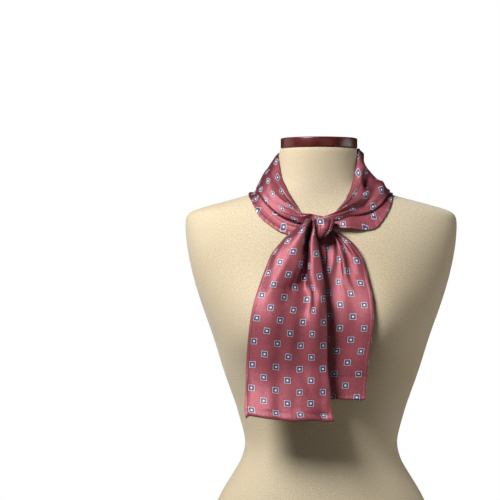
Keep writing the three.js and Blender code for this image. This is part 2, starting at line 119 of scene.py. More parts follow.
slope = table(["place", "height"], [[0, 0], [10, 5], [20, 20]])
print("between the rows of a small table:", [round(slope("height", x), 2) for x in (5, 10, 15)])

# %% [markdown]
# The camera comes first, because everything is judged through it. The cap's rim is nearly flat to
# the eye, so the photographer stood far back with a long lens, level with the top of the chest and
# a little to one side.

# %% Camera
CAMERA_PLACE = (-106.5, -3000.0, 513.0)
LENS = 144.0

camera_data = bpy.data.cameras.new("camera")
camera_data.lens = LENS
camera_data.sensor_width = 36.0
camera = bpy.data.objects.new("camera", camera_data)
camera.location = Vector(CAMERA_PLACE) * MM
camera.rotation_euler = (math.radians(90), 0, 0)
bpy.context.scene.collection.objects.link(camera)
bpy.context.scene.camera = camera
print("camera", round(camera.location.length, 2), "m from the origin")

# %% [markdown]
# The studio is a pale floor and a white surround. A white surround lights a thing evenly from all
# sides, which would wash the folds out. So the camera sees it at full strength, and the light that
# it gives is held back.

# %% The floor
FLOOR_RADIUS = 1050.0
FLOOR_SEEN = (0.78, 0.78, 0.775, 1)
FLOOR_BOUNCE = (0.16, 0.15, 0.13, 1)

floor_mesh = bmesh.new()
bmesh.ops.create_circle(floor_mesh, cap_ends=True, segments=96, radius=FLOOR_RADIUS * MM)
floor_data = bpy.data.meshes.new("floor")
floor_mesh.to_mesh(floor_data)
floor_mesh.free()
floor = bpy.data.objects.new("floor", floor_data)
bpy.context.scene.collection.objects.link(floor)
floor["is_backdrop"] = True
print("floor", 2 * FLOOR_RADIUS, "mm across")

# %% The floor's paint
floor_paint = bpy.data.materials.new("pale floor")
floor_paint.use_nodes = True
paint_nodes = floor_paint.node_tree
looking = paint_nodes.nodes.new("ShaderNodeLightPath")
pale_or_dark = paint_nodes.nodes.new("ShaderNodeMix")
pale_or_dark.data_type = "RGBA"
pale_or_dark.inputs["A"].default_value = FLOOR_BOUNCE
pale_or_dark.inputs["B"].default_value = FLOOR_SEEN
paint_nodes.links.new(looking.outputs["Is Camera Ray"], pale_or_dark.inputs["Factor"])
matt = paint_nodes.nodes["Principled BSDF"]
paint_nodes.links.new(pale_or_dark.outputs["Result"], matt.inputs["Base Color"])
matt.inputs["Roughness"].default_value = 0.8
floor_data.materials.append(floor_paint)

# %% The white surround
SURROUND_SEEN = 1.0
SURROUND_LIGHT = 0.03
WARM_WHITE = (1.0, 0.93, 0.82, 1)

world = bpy.data.worlds.new("studio")
bpy.context.scene.world = world
world.use_nodes = True
sky = world.node_tree
seen = sky.nodes["Background"]
seen.inputs["Color"].default_value = (1, 1, 1, 1)
seen.inputs["Strength"].default_value = SURROUND_SEEN
given = sky.nodes.new("ShaderNodeBackground")
given.inputs["Color"].default_value = WARM_WHITE
given.inputs["Strength"].default_value = SURROUND_LIGHT
which = sky.nodes.new("ShaderNodeLightPath")
both = sky.nodes.new("ShaderNodeMixShader")
sky.links.new(which.outputs["Is Camera Ray"], both.inputs["Fac"])
sky.links.new(given.outputs["Background"], both.inputs[1])
sky.links.new(seen.outputs["Background"], both.inputs[2])
sky.links.new(both.outputs["Shader"], sky.nodes["World Output"].inputs["Surface"])
print("the surround lights the scene with", SURROUND_LIGHT, "and is seen as", SURROUND_SEEN)

# %% [markdown]
# The folds are read by their shadows. The photograph has one big soft light, high on the left and
# in front, and a weak fill. A sun lamp would cut hard edges, so area lamps stand in for the
# studio's soft boxes, and two faint ones at the sides for the light that pale walls throw back.

# %% Soft boxes
def soft_box(name, place, aim, size, power, colour):
    data = bpy.data.lights.new(name, "AREA")
    data.shape = "DISK"
    data.size = size * MM
    data.energy = power
    data.color = colour
    lamp = bpy.data.objects.new(name, data)
    lamp.location = Vector(place) * MM
    lamp.rotation_euler = (Vector(aim) - Vector(place)).to_track_quat("-Z", "Y").to_euler()
    bpy.context.scene.collection.objects.link(lamp)


CHEST = (0, -60, 430)
soft_box("key", (-1050, -1120, 1790), CHEST, 900, 56.5, (1.0, 0.98, 0.95))
soft_box("fill", (900, -2400, 700), CHEST, 1500, 2.2, (1.0, 0.95, 0.88))
soft_box("right wrap", (1800, 0, 350), CHEST, 1400, 11, (1.0, 0.96, 0.9))
soft_box("left wrap", (-1700, 500, 700), CHEST, 1400, 4, (1.0, 0.97, 0.93))
bpy.context.scene.view_settings.view_transform = "Standard"

# %% [markdown]
# The dress form is a padded shell with jersey stretched over it. Its level sections are rounded
# boxes whose size is known at a few heights. It could be carved from a block or simulated, but a
# tube of rings is closer to how such forms are drawn up: a circle is extruded upwards, ring by
# ring, and each ring is then pushed out to its own section.

# %% The form's own sizes
FORM_SEGMENTS = 96
NECK_TOP = 665.0
torso = table(
    ["height", "half_width", "front", "back", "power"],
    [
        [0, 182, 100, 114, 2.3],
        [5, 187, 104, 118, 2.3],
        [45, 186, 108, 121, 2.3],
        [90, 174, 106, 117, 2.3],
        [125, 161, 101, 108, 2.3],
        [150, 149.5, 96.5, 98, 2.25],
        [180, 131, 91, 86, 2.2],
        [205, 117, 87, 78, 2.2],
        [228, 113, 86, 74, 2.2],
        [250, 118.5, 86, 74, 2.2],
        [280, 127, 89, 76, 2.2],
        [330, 145, 96, 83, 2.3],
        [385, 162, 104, 93, 2.35],
        [435, 180, 106, 100, 2.4],
        [475, 192, 101, 103, 2.45],
        [516, 200.5, 92, 101, 2.45],
        [540, 203, 83, 96, 2.4],
        [553, 203.5, 77, 92, 2.3],
        [563, 202, 72, 88, 2.2],
        [571, 195.5, 68, 85, 2.1],
        [579, 170, 65, 81, 2.05],
        [588, 136, 62.5, 77, 2],
        [595, 110, 61, 74, 2],
        [602, 88, 60.5, 71, 2],
        [609, 75, 60, 68.5, 2],
        [618, 68, 59.5, 66, 2],
        [630, 64, 59, 63.5, 2],
        [648, 61, 58.5, 60.5, 2],
        [660, 59.5, 58, 58.5, 2],
        [NECK_TOP, 57.5, 56.5, 57, 2],
    ],
)
WAIST = 228
print("waist", 2 * torso("half_width", WAIST), "mm wide,",
      torso("front", WAIST) + torso("back", WAIST), "mm deep")

# %% The bust and the lean of the neck
NECK_LEAN = -3.0
BUST_HEIGHT, BUST_FORWARD = 398.0, 34.0
BUST_APART, BUST_SPREAD = 84.0, 56.0
BUST_ABOVE, BUST_BELOW = 74.0, 48.0


def lean(z):
    """The neck stands a little to the form's right of the body's middle."""
    return NECK_LEAN * smooth(575, 640, z)


def bust_forward(x, z):
    level = bell(z, BUST_HEIGHT, BUST_ABOVE if z > BUST_HEIGHT else BUST_BELOW)
    return BUST_FORWARD * level * (bell(x, BUST_APART, BUST_SPREAD) + bell(x, -BUST_APART, BUST_SPREAD))


def form_front(x, z):
    """How far forward the form's skin is, at a place seen from the front."""
    share = min(abs(x) / torso("half_width", z), 1.0)
    power = torso("power", z)
    depth = (1 - share**power) ** (1 / power)
    return torso("front", z) * depth + bust_forward(x, z) * smooth(0, 0.55, depth)


def form_point(turn, z):
    power = 2 / torso("power", z)
    side = math.copysign(abs(math.cos(turn)) ** power, math.cos(turn))
    depth = math.copysign(abs(math.sin(turn)) ** power, math.sin(turn))
    x = torso("half_width", z) * side + lean(z)
    if depth >= 0:
        return Vector((x, torso("back", z) * depth, z))
    return Vector((x, torso("front", z) * depth - bust_forward(x, z) * smooth(0, 0.55, -depth), z))


print("the bust stands", round(form_front(BUST_APART, BUST_HEIGHT)), "mm forward")

# %% [markdown]
# A jersey cover is knitted as a tube and pulled on, so its ribs run up the form and spread where
# the body is wide. Its UV map says the same: across is measured round the bust once and for all,
# and up is the height.

# %% A finished piece
def new_piece(name, bm):
    """A finished piece: its object stays at the origin, and its place is in its mesh."""
    data = bpy.data.meshes.new(name)
    bm.to_mesh(data)
    bm.free()
    piece = bpy.data.objects.new(name, data)
    bpy.context.scene.collection.objects.link(piece)
    for polygon in data.polygons:
        polygon.use_smooth = True
    return piece


# %% Build the dress form
FORM_RINGS = [
    0, 2.5, 5, 14, 26, 45, 62, 80, 100, 118, 134, 150, 165, 180, 196, 212, 228, 244, 262, 280,
    300, 320, 340, 360, 380, 400, 420, 440, 460, 480, 500, 518, 532, 544, 553, 559, 565, 571,
    577, 583, 589, 595, 602, 609, 618, 630, 642, 652, 659, 663, NECK_TOP,
]
FOOT_INSET = 0.06
TOP_CLOSING = (0.9, 0.5)
BUST_ROUND = 1010.0


def next_ring(bm, edges):
    """One more ring on the tube: its points, still in the old ring's place, and its edges."""
    made = bmesh.ops.extrude_edge_only(bm, edges=edges)["geom"]
    return ([g for g in made if isinstance(g, bmesh.types.BMVert)],
            [g for g in made if isinstance(g, bmesh.types.BMEdge)])


def build_dress_form():
    bm = bmesh.new()
    ring = bmesh.ops.create_circle(bm, cap_ends=True, segments=FORM_SEGMENTS, radius=1.0)["verts"]
    bmesh.ops.inset_region(bm, faces=bm.faces[:], thickness=FOOT_INSET)
    edges = [e for e in bm.edges if all(v in ring for v in e.verts)]
    for low, high in zip(FORM_RINGS, FORM_RINGS[1:]):
        moved, edges = next_ring(bm, edges)
        bmesh.ops.translate(bm, verts=moved, vec=(0, 0, high - low))
    for inward in TOP_CLOSING:
        moved, edges = next_ring(bm, edges)
        bmesh.ops.scale(bm, verts=moved, vec=(inward, inward, 1))
    bmesh.ops.contextual_create(bm, geom=edges)
    jersey_map = bm.loops.layers.uv.new("jersey")
    for face in bm.faces:
        turns = [math.atan2(loop.vert.co.y, loop.vert.co.x) for loop in face.loops]
        across_seam = max(turns) - min(turns) > math.pi
        for loop, turn in zip(face.loops, turns):
            turn += 2 * math.pi if across_seam and turn < 0 else 0
            loop[jersey_map].uv = (turn / (2 * math.pi) * BUST_ROUND * MM, loop.vert.co.z * MM)
    for v in bm.verts:
        spread = math.hypot(v.co.x, v.co.y)
        skin = form_point(math.atan2(v.co.y, v.co.x), v.co.z)
        v.co = Vector((skin.x * spread, skin.y * spread, skin.z)) * MM
    bmesh.ops.recalc_face_normals(bm, faces=bm.faces[:])
    return new_piece("form_body", bm)


form_body = build_dress_form()
form_body.modifiers.new("Round", "SUBSURF").levels = 1
form_body.modifiers["Round"].render_levels = 1
print("form body", len(form_body.data.polygons), "faces before it is rounded")

# %% [markdown]
# The cap on the neck is turned wood. A lathe turns a profile round an axis, and the spin operator
# does the same: half of the cap's outline goes once round, and the two sharp rims are then eased
# with a bevel, as a turner breaks an edge with sandpaper.

# %% Turn the neck cap
cap_low, cap_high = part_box("neck_cap")
CAP_MIDDLE = (cap_low.x + cap_high.x) / 2
CAP_RADIUS = (cap_high.x - cap_low.x) / 2 / MM
CAP_FOOT, CAP_TOP = cap_low.z / MM, cap_high.z / MM
CAP_EASE = 1.7
CAP_STEPS = 128


def build_neck_cap():
    bm = bmesh.new()
    outline = [(0, CAP_FOOT), (CAP_RADIUS, CAP_FOOT), (CAP_RADIUS, CAP_TOP), (0, CAP_TOP)]
    corners = [bm.verts.new((r * MM, 0, z * MM)) for r, z in outline]
    profile = [bm.edges.new(pair) for pair in zip(corners, corners[1:])]
    bmesh.ops.spin(bm, geom=corners + profile, cent=(0, 0, 0), axis=(0, 0, 1),
                   angle=2 * math.pi, steps=CAP_STEPS, use_merge=True)
    bmesh.ops.remove_doubles(bm, verts=bm.verts[:], dist=1e-6)
    bmesh.ops.recalc_face_normals(bm, faces=bm.faces[:])
    rims = [e for e in bm.edges
            if all(math.hypot(v.co.x, v.co.y) > CAP_RADIUS * MM * 0.99 for v in e.verts)
            and abs(e.verts[0].co.z - e.verts[1].co.z) < 1e-6]
    bmesh.ops.bevel(bm, geom=rims, offset=CAP_EASE * MM, offset_type="OFFSET", segments=4, profile=0.5,
                    affect="EDGES", material=-1)
    bmesh.ops.translate(bm, verts=bm.verts[:], vec=(CAP_MIDDLE, 0, 0))
    return new_piece("turned_cap", bm)


turned_cap = build_neck_cap()
print("cap", round(2 * CAP_RADIUS, 1), "mm across,", round(CAP_TOP - CAP_FOOT, 1), "mm thick")

# %% [markdown]
# Silk is a sheet, so each stretch of it is a grid. The grid's columns run along the cloth and its
# rows across it, and each of its points is placed by a function that says where that spot of the
# flat cloth has come to lie. A simulation could find such places too, but a tied cravat is pulled
# and dressed by hand, and the folds in the photograph are particular ones. Each point also keeps
# its place on the flat cloth as its UV, in metres, so the woven squares stay square and go with
# every fold.

# %% From a grid to a piece of cloth
SILK = 0.9


def cloth_piece(name, points, flat):
    """points and flat are rows, bottom row first, of places in space (mm) and on the flat cloth (mm)."""
    rows, columns = len(points) - 1, len(points[0]) - 1
    bm = bmesh.new()
    bmesh.ops.create_grid(bm, x_segments=columns, y_segments=rows, size=0.5)
    cloth_map = bm.loops.layers.uv.new("cloth")
    spot = {v: (round((v.co.y + 0.5) * rows), round((v.co.x + 0.5) * columns)) for v in bm.verts}
    for face in bm.faces:
        for loop in face.loops:
            j, i = spot[loop.vert]
            loop[cloth_map].uv = (flat[j][i][0] * MM, flat[j][i][1] * MM)
    for v, (j, i) in spot.items():
        v.co = points[j][i] * MM
    bmesh.ops.remove_doubles(bm, verts=bm.verts[:], dist=1e-7)
    piece = new_piece(name, bm)
    wall = piece.modifiers.new("Cloth", "SOLIDIFY")
    wall.thickness = SILK * MM
    wall.offset = -1
    return piece


# %% Spacing and unevenness
def uneven(count, edge=0.5):
    """Shares from 0 to 1 that lie closer together at both ends, where the hems are."""
    return [mix(i / count, smooth(0, 1, i / count), edge) for i in range(count + 1)]


def rumple(a, b, seed, deep):
    """The small unevenness of handled silk: long soft waves with a few shorter ones on them."""
    long_wave = noise.noise(Vector((a / 26, b / 95, seed)))
    short_wave = noise.noise(Vector((a / 11, b / 34, seed + 7.3)))
    return deep * (long_wave + 0.38 * short_wave)


RUMPLE_DEEP = 0.9
print("ten steps that crowd at the hems:", [round(share, 2) for share in uneven(10)])

# %% [markdown]
# A hem is a narrow roll, a few millimetres wide, held by stitches on its inner side. The roll
# stands a little proud of the cloth, the stitches pull a fine groove, and where the hem is tight
# the cloth beside it puckers.

# %% The rolled hem
HEM_WIDTH = 4.6
HEM_PROUD = 0.4
STITCH_GROOVE = 0.22
STITCH_LENGTH = 3.2
PUCKER_PITCH = 6.0
PUCKER_REACH = 9


def hem_relief(from_edge, along):
    roll = HEM_PROUD * smooth(0, 1.1, from_edge) * (1 - smooth(HEM_WIDTH - 0.9, HEM_WIDTH, from_edge))
    stitch = 0.7 + 0.3 * math.sin(2 * math.pi * along / STITCH_LENGTH)
    return roll - STITCH_GROOVE * stitch * bell(from_edge, HEM_WIDTH, 0.7)


def hem_pucker(from_edge, along, seed, deep):
    """Short ribs square to the hem, uneven in spacing, that die out within about 15 mm."""
    shift = 3.5 * noise.noise(Vector((along / 19, seed, 0)))
    strength = 0.55 + 0.9 * noise.noise(Vector((along / 31, seed, 4.1)))
    wave = math.sin(2 * math.pi * (along + shift) / PUCKER_PITCH)
    return deep * max(strength, 0) * wave * math.exp(-from_edge / PUCKER_REACH)


print("the hem stands", round(hem_relief(HEM_WIDTH / 2, 0), 2), "mm proud")

# %% [markdown]
# A crease is a soft trough, or a ridge, along a line between two spots of the flat cloth. Real ones
# differ in length, depth and width, so each is one row with its own numbers, read off the
# photograph.

# %% Creases
def crease_depth(creases, a, b):
    """How far the listed creases lift (over 0) or sink (under 0) the cloth at flat place (a, b)."""
    total = 0.0
    for a0, b0, a1, b1, lift, wide in creases:
        run_a, run_b = a1 - a0, b1 - b0
        length = run_a * run_a + run_b * run_b
        share = ((a - a0) * run_a + (b - b0) * run_b) / length
        if share < -0.4 or share > 1.4:
            continue
        off = abs((a - a0) * run_b - (b - b0) * run_a) / math.sqrt(length)
        if off > 3 * wide:
            continue
        fade = smooth(-0.3, 0.25, share) * (1 - smooth(0.7, 1.3, share))
        total += lift * fade * math.exp(-((off / wide) ** 2))
    return total


one_crease = [(0, 0, 0, 100, 2.0, 5.0)]
print("a 2 mm ridge, across it:", [round(crease_depth(one_crease, a, 50), 2) for a in (0, 3, 6, 9)], "mm")

# %% [markdown]
# A hanging end is gathered at the knot and opens downwards. At each height the same 124 mm of cloth
# has to fit a narrower space, so it folds. Its folds are listed once, as ridges and valleys across
# the flat cloth, and one search per height finds how steep they must be for the folded cloth to
# span exactly the width seen there.

# %% The slope of the cloth at one height
def slope_across(folds, edges, s, z):
    """folds are ridges and valleys. edges are strips along the side hems that turn to the back."""
    slope = 0.0
    for starts_across, full_across, swing, starts_up, full_up in edges:
        slope += swing * smooth(starts_across, full_across, s) * smooth(starts_up, full_up, z)
    for across, drift, wide, swing, starts, ends, low in folds:
        alive = smooth(ends, starts, z)
        u = (s - across - drift * (1 - alive)) / wide
        if abs(u) < 5:
            slope -= swing * mix(low, 1, alive) * u * math.exp(0.5 * (1 - u * u))
    return slope


# %% Fit the folds to a width
FLAT_WIDTH = 124.0
STEEPEST = 1.42


def folded_section(folds, edges, z, width, spots):
    """The across and out places of each spot of the flat cloth at one height."""
    steps = [b - a for a, b in zip(spots, spots[1:])]
    slopes = [slope_across(folds, edges, (a + b) / 2, z) for a, b in zip(spots, spots[1:])]

    def angle(slope, scale):
        return STEEPEST * math.tanh(slope * scale / STEEPEST)

    low, high = 0.0, 12.0
    for _ in range(22):
        middle = (low + high) / 2
        span = sum(step * math.cos(angle(slope, middle)) for step, slope in zip(steps, slopes))
        low, high = (middle, high) if span > width else (low, middle)
    across, out = [0.0], [0.0]
    for step, slope in zip(steps, slopes):
        turned = angle(slope, low)
        across.append(across[-1] + step * math.cos(turned))
        out.append(out[-1] + step * math.sin(turned))
    level = [o - out[-1] * s / FLAT_WIDTH for o, s in zip(out, spots)]
    squeeze = width / across[-1]
    deepest = min(level)
    return [(a * squeeze, (o - deepest) * squeeze) for a, o in zip(across, level)]


# %% Ease out kinks
def eased_once(values):
    """Each value is moved halfway towards the two beside it."""
    before = [values[0], *values[:-1]]
    after = [*values[1:], values[-1]]
    return [(a + 2 * b + c) / 4 for a, b, c in zip(before, values, after)]


def eased(field, passes):
    """A field of distances with its kinks eased out, as cloth bridges a sharp turn behind it."""
    for _ in range(passes):
        field = [eased_once(row) for row in field]
        columns = [eased_once(column) for column in zip(*field)]
        field = [list(row) for row in zip(*columns)]
    return field


print("a step of 4 mm, eased once:", eased_once([0, 0, 4, 4]))

# %% [markdown]
# Each row of the folded cloth is then hung. Silk falls straight down from whatever holds it
# forward, and swings back only a little, so every row starts from the one above it and from the
# surface behind it.

# %% Hang an end
HEM_REACH = 60.0
EASE_PASSES = 20


def hanging_end(outline, folds, edges, heights, spots, clear_of, hem_rise, depth_at, swing_back, flare):
    """Rows from the top down. hem_rise lifts the hem at a spot, depth_at is the share of the folds'
    depth that is kept at a spot and a height, and flare is how far and how high the hem turns out."""
    rows, ahead = [], []
    hem = heights[-1]
    for j, z in enumerate(heights):
        left = outline("left", z)
        full = outline("full", z)
        near_hem = smooth(hem + HEM_REACH, hem, z)
        section = folded_section(folds, edges, z, outline("right", z) - left, spots)
        row = [(left + across, z + near_hem * hem_rise(s), full * depth_at(s, z) * out)
               for (across, out), s in zip(section, spots)]
        reach = [clear_of(x, z) for x, _, _ in row]
        if j:
            drop = heights[j - 1] - z
            reach = [max(r, above - swing_back * drop) for r, above in zip(reach, ahead[-1])]
        rows.append(row)
        ahead.append(reach)
    ahead = eased(ahead, EASE_PASSES)
    flares = [flare[0] * max(1 - (z - hem) / flare[1], 0.0) ** 2 for z in heights]
    return [[Vector((x, -(r + out + further), z)) for (x, z, out), r in zip(row, reach)]
            for row, reach, further in zip(rows, ahead, flares)]


def lengths_up(rows):
    """How far each point is from the hem, measured up along its own column of the cloth."""
    up = [[0.0] * len(rows[0])]
    for below, here in zip(reversed(rows), list(reversed(rows))[1:]):
        up.append([u + (h - b).length for u, h, b in zip(up[-1], here, below)])
    return list(reversed(up))


# %% [markdown]
# The end behind hangs from under the knot to the form's left side. Its edge turns over on itself
# near the top, where the gathered cloth opens.

# %% The back end's outline
back_outline = table(
    ["height", "left", "right", "full"],
    [
        [296, -66, 59.5, 0.62],
        [331, -62, 62, 0.62],
        [358, -56, 64, 0.62],
        [386, -49, 68, 0.62],
        [417, -41, 71, 0.62],
        [444, -34, 69.5, 0.62],
        [472, -27, 64, 0.62],
        [499, -22, 57.5, 0.62],
        [514, -18, 50.5, 0.62],
        [523, -15, 43.5, 0.6],
        [531, -13, 34, 0.55],
        [536, -12, 26, 0.5],
        [540, -10, 18, 0.4],
        [546, -8, 14, 0.3],
    ],
)
print("the back end's hem is", back_outline("right", 296) - back_outline("left", 296), "mm wide")

# %% Its folds and creases
# across, drift, wide, swing, starts, ends, low
back_folds = [
    (12, 0, 7, 1.9, 520, 430, 0.6),
    (28, 0, 7, -2.2, 520, 430, 0.6),
    (44, 0, 7, 2.2, 520, 410, 0.4),
    (60, 0, 8, -1.6, 515, 425, 0.2),
    (75, 0, 6.5, -1.6, 515, 425, 0.12),
    (86, 0, 6, 1.3, 515, 440, 0.1),
    (98, 0, 5.5, -0.8, 515, 455, 0.0),
    (109, 0, 6, 0.8, 520, 450, 0.1),
]
# starts across, full across, swing, starts up, full up
back_edges = [(115, 120, -1.2, 465, 505)]
# flat place from, flat place to (across and up from the hem, mm), lift, width
back_creases = [
    (82, 232, 96, 168, 1.6, 3.2),
    (76, 226, 88, 166, -2.2, 4.0),
    (100, 206, 112, 176, -1.2, 5.0),
    (70, 236, 66, 190, 1.6, 3.5),
    (60, 232, 56, 186, -2.0, 4.5),
    (104, 242, 112, 214, 1.8, 3.0),
    (112, 226, 122, 206, -1.6, 3.0),
    (78, 160, 80, 96, 1.2, 10.0),
    (122, 100, 122, -10, -3.0, 26.0),
    (96, 140, 104, 60, -0.9, 12.0),
    (30, 150, 34, 60, 1.0, 10.0),
]
print("the back end has", len(back_folds), "folds and", len(back_creases), "creases")

# %% Hang the back end
OVER_LOOP = 87.0
OFF_FORM = 3.9
BACK_TOP, BACK_HEM = 546.0, 297.0


def back_clear(x, z):
    return max(form_front(x, z) + OFF_FORM, OVER_LOOP * smooth(500, 520, z))


def held_down(s, z):
    """The part that starts under the knot lies flat in its hollow, and rises to the ridge beside it."""
    return mix(1.0, mix(0.12, 1.0, smooth(70, 86, s)), smooth(430, 490, z))


COLUMNS = 150
spots = [FLAT_WIDTH * share for share in uneven(COLUMNS)]
back_heights = [mix(BACK_TOP, BACK_HEM, share) for share in uneven(130, 0.35)]
back_rows = hanging_end(
    back_outline, back_folds, back_edges, back_heights, spots, back_clear,
    hem_rise=lambda s: 0.0, depth_at=held_down, swing_back=0.15, flare=(2.0, 60.0),
)
back_up = lengths_up(back_rows)
print("the back end is", round(max(back_up[0])), "mm long where it shows")

# %% [markdown]
# The end in front falls over the knot's shoulder and over the edge of the end behind. So it needs
# to know how far forward that end stands, and it starts to rise a little before it gets there, as
# stiff silk does.

# %% The front end's outline
front_outline = table(
    ["height", "left", "right", "full"],
    [
        [268, -111.5, 14, 0.9],
        [281, -113, 10.5, 0.9],
        [295, -113, 7.5, 0.9],
        [322, -112.8, 6.2, 0.9],
        [360, -111.5, 5.4, 0.9],
        [395, -108.5, 5.0, 0.9],
        [432, -102.5, 3.4, 0.9],
        [468, -91, 0.2, 0.9],
        [487, -84, -2.4, 0.9],
        [506, -76, -4.8, 0.9],
        [523, -62.5, -7.8, 0.88],
        [535, -51.5, -9.0, 0.82],
        [545, -38.5, -9.8, 0.75],
        [551, -31, -11, 0.75],
        [558, -24, -12.5, 0.7],
    ],
)
print("the front end's hem is", front_outline("right", 268) - front_outline("left", 268), "mm wide")

# %% Its folds and creases, in the same columns
front_folds = [
    (45, -6, 17, 0.6, 520, 430, 0.08),
    (80, -8, 8.5, -3.4, 508, 456, 0.02),
    (105, 0, 12, 0.8, 520, 400, 0.3),
]
front_edges = [(24, 10, 1.3, 440, 520), (116, 120.5, -3.2, 270, 330)]
front_creases = [
    (84, 226, 74, 196, -2.2, 4.0),
    (34, 232, 20, 176, 1.6, 7.0),
    (98, 200, 90, 176, 1.8, 6.0),
    (66, 250, 60, 214, 1.8, 4.0),
    (57, 222, 54, 186, -1.5, 4.5),
    (48, 210, 44, 168, -1.0, 5.0),
    (80, 190, 78, 158, -2.5, 12.5),
    (-12, 66, -12, -10, 6.0, 18.0),
    (90, 64, 94, -10, 6.0, 38.0),
    (112, 44, 114, -10, -2.6, 9.0),
    (92, 190, 96, 60, 1.4, 11.0),
    (26, 120, 40, 8, 1.2, 11.0),
    (88, 60, 108, 2, -1.8, 7.0),
    (112, 34, 121, 0, 1.6, 6.0),
    (60, 70, 70, 4, -0.8, 9.0),
]
front_hem = table(["across", "rise"], [[0, 3], [5, 7.5], [34, 4.5], [74, 0], [FLAT_WIDTH, 0]])
print("the front end has", len(front_folds), "folds and", len(front_creases), "creases")

# %% Bridge the back end
OVER_BACK_END = 5.0
RISE_SLOPE = 0.2
BRIDGE_FROM, BRIDGE_TO = -135, 90
BRIDGE_ENDS_UNDER = 40.0
back_levels = [-row[0].z for row in back_rows]


def bridged(row):
    """How far forward silk must lie to bridge one row of the back end, at every millimetre across."""
    ahead = []
    for x in range(BRIDGE_FROM, BRIDGE_TO + 1):
        i = min(max(bisect.bisect_right(row, x, key=lambda p: p.x), 1), len(row) - 1)
        left, right = row[i - 1], row[i]
        share = min(max((x - left.x) / max(right.x - left.x, 1e-6), 0.0), 1.0)
        beside = max(left.x - x, x - right.x, 0.0)
        ahead.append(mix(-left.y, -right.y, share) - RISE_SLOPE * beside)
    for i in range(1, len(ahead)):
        ahead[i] = max(ahead[i], ahead[i - 1] - RISE_SLOPE)
    for i in range(len(ahead) - 2, -1, -1):
        ahead[i] = max(ahead[i], ahead[i + 1] - RISE_SLOPE)
    return ahead


bridges = [bridged(row) for row in back_rows]


def bridge_at(bridge, x):
    place = min(max(x - BRIDGE_FROM, 0.0), len(bridge) - 1.001)
    return mix(bridge[int(place)], bridge[int(place) + 1], place - int(place))


def front_clear(x, z):
    j = min(max(bisect.bisect_left(back_levels, -z), 1), len(back_rows) - 1)
    above, below = back_rows[j - 1][0].z, back_rows[j][0].z
    share = min(max((z - below) / (above - below), 0.0), 1.0)
    ahead = mix(bridge_at(bridges[j], x), bridge_at(bridges[j - 1], x), share)
    under = smooth(BACK_HEM - BRIDGE_ENDS_UNDER, BACK_HEM, z)
    return max(back_clear(x, z), mix(back_clear(x, z), ahead + OVER_BACK_END, under))


print("at the throat the front end has to lie", round(front_clear(-30, 530)), "mm forward")

# %% Hang the front end
FRONT_TOP, FRONT_HEM = 558.0, 268.0

front_heights = [mix(FRONT_TOP, FRONT_HEM, share) for share in uneven(150, 0.35)]
front_rows = hanging_end(
    front_outline, front_folds, front_edges, front_heights, spots, front_clear,
    hem_rise=lambda s: front_hem("rise", s), depth_at=lambda s, z: 1.0, swing_back=0.12, flare=(29.0, 80.0),
)
front_up = lengths_up(front_rows)
print("the front end is", round(max(front_up[0])), "mm long")

# %% [markdown]
# The finer form is laid on the folded cloth along its own outward direction: the handled silk's
# waves, the listed creases, and the hem along both sides and the bottom.

# %% Finish the two ends
END_PUCKER = 0.28
HEM_TURN_HIGH = 4.5
CALM_HEM = 30


def outward(rows, j, i):
    across = rows[j][min(i + 1, len(rows[j]) - 1)] - rows[j][max(i - 1, 0)]
    down = rows[min(j + 1, len(rows) - 1)][i] - rows[max(j - 1, 0)][i]
    return down.cross(across).normalized()


def finish_end(name, rows, up, creases, seed, flat_shift, hem_turn):
    """flat_shift moves the squares on the cloth, and hem_turn is how far its bottom hem turns back."""
    points, flat = [], []
    for j, row in enumerate(rows):
        line, flat_line = [], []
        for i, p in enumerate(row):
            s, t = spots[i], up[j][i]
            from_side = min(s, FLAT_WIDTH - s)
            relief = hem_relief(from_side, t) + hem_pucker(from_side, t, seed, END_PUCKER)
            relief += hem_relief(t, s) + hem_pucker(t, s, seed + 3, END_PUCKER)
            relief -= hem_turn * (1 - smooth(0, HEM_TURN_HIGH, t))
            relief += crease_depth(creases, s, t) + rumple(s, t, seed, RUMPLE_DEEP) * smooth(0, CALM_HEM, t)
            line.append(p + outward(rows, j, i) * relief)
            flat_line.append((s + flat_shift[0], t + flat_shift[1]))
        points.insert(0, line)
        flat.insert(0, flat_line)
    return cloth_piece(name, points, flat)


back_silk = finish_end("silk_back_end", back_rows, back_up, back_creases, 2.0, (-111.0, -3.5), 0.3)
front_silk = finish_end("silk_front_end", front_rows, front_up, front_creases, 5.0, (-9.0, -9.5), 2.4)
print("the ends have", len(back_silk.data.vertices), "and", len(front_silk.data.vertices), "points")

# %% [markdown]
# Round the neck the strip is folded lengthwise, so two layers show. The under layer lies flat on
# the shoulders and shows its stitched hem. The upper layer leans from the neck out to its folded
# edge. Both are placed by the turn round the neck, from the throat to the nape and back, and stand
# off the form's skin along its normal.

# %% How the form meets the loop
NECK_AXIS_Y = 4.0
REST = 2.4
SEAM_GAP = 0.4
UNDER_FOLD = 6.4


def outside(p):
    """Under 0 inside the form's shoulders and neck, and over 0 outside."""
    power = torso("power", p.z)
    depth = torso("front" if p.y < 0 else "back", p.z)
    share = (abs(p.x - lean(p.z)) / torso("half_width", p.z)) ** power + (abs(p.y) / depth) ** power
    return share ** (1 / power) - 1


def edge_between(low, high, is_inside):
    for _ in range(18):
        middle = (low + high) / 2
        low, high = (middle, high) if is_inside(middle) else (low, middle)
    return low


def form_top(x, y):
    return edge_between(500, NECK_TOP, lambda z: outside(Vector((x, y, z))) < 0)


def stand_off(p, gap):
    h = 0.5
    moved = p.copy()
    for _ in range(3):
        here = outside(moved)
        slope = Vector(
            (outside(moved + h * axis) - outside(moved - h * axis)) / (2 * h)
            for axis in (Vector((1, 0, 0)), Vector((0, 1, 0)), Vector((0, 0, 1)))
        )
        steep = slope.length
        moved += slope * ((gap - here / steep) / steep)
    return moved


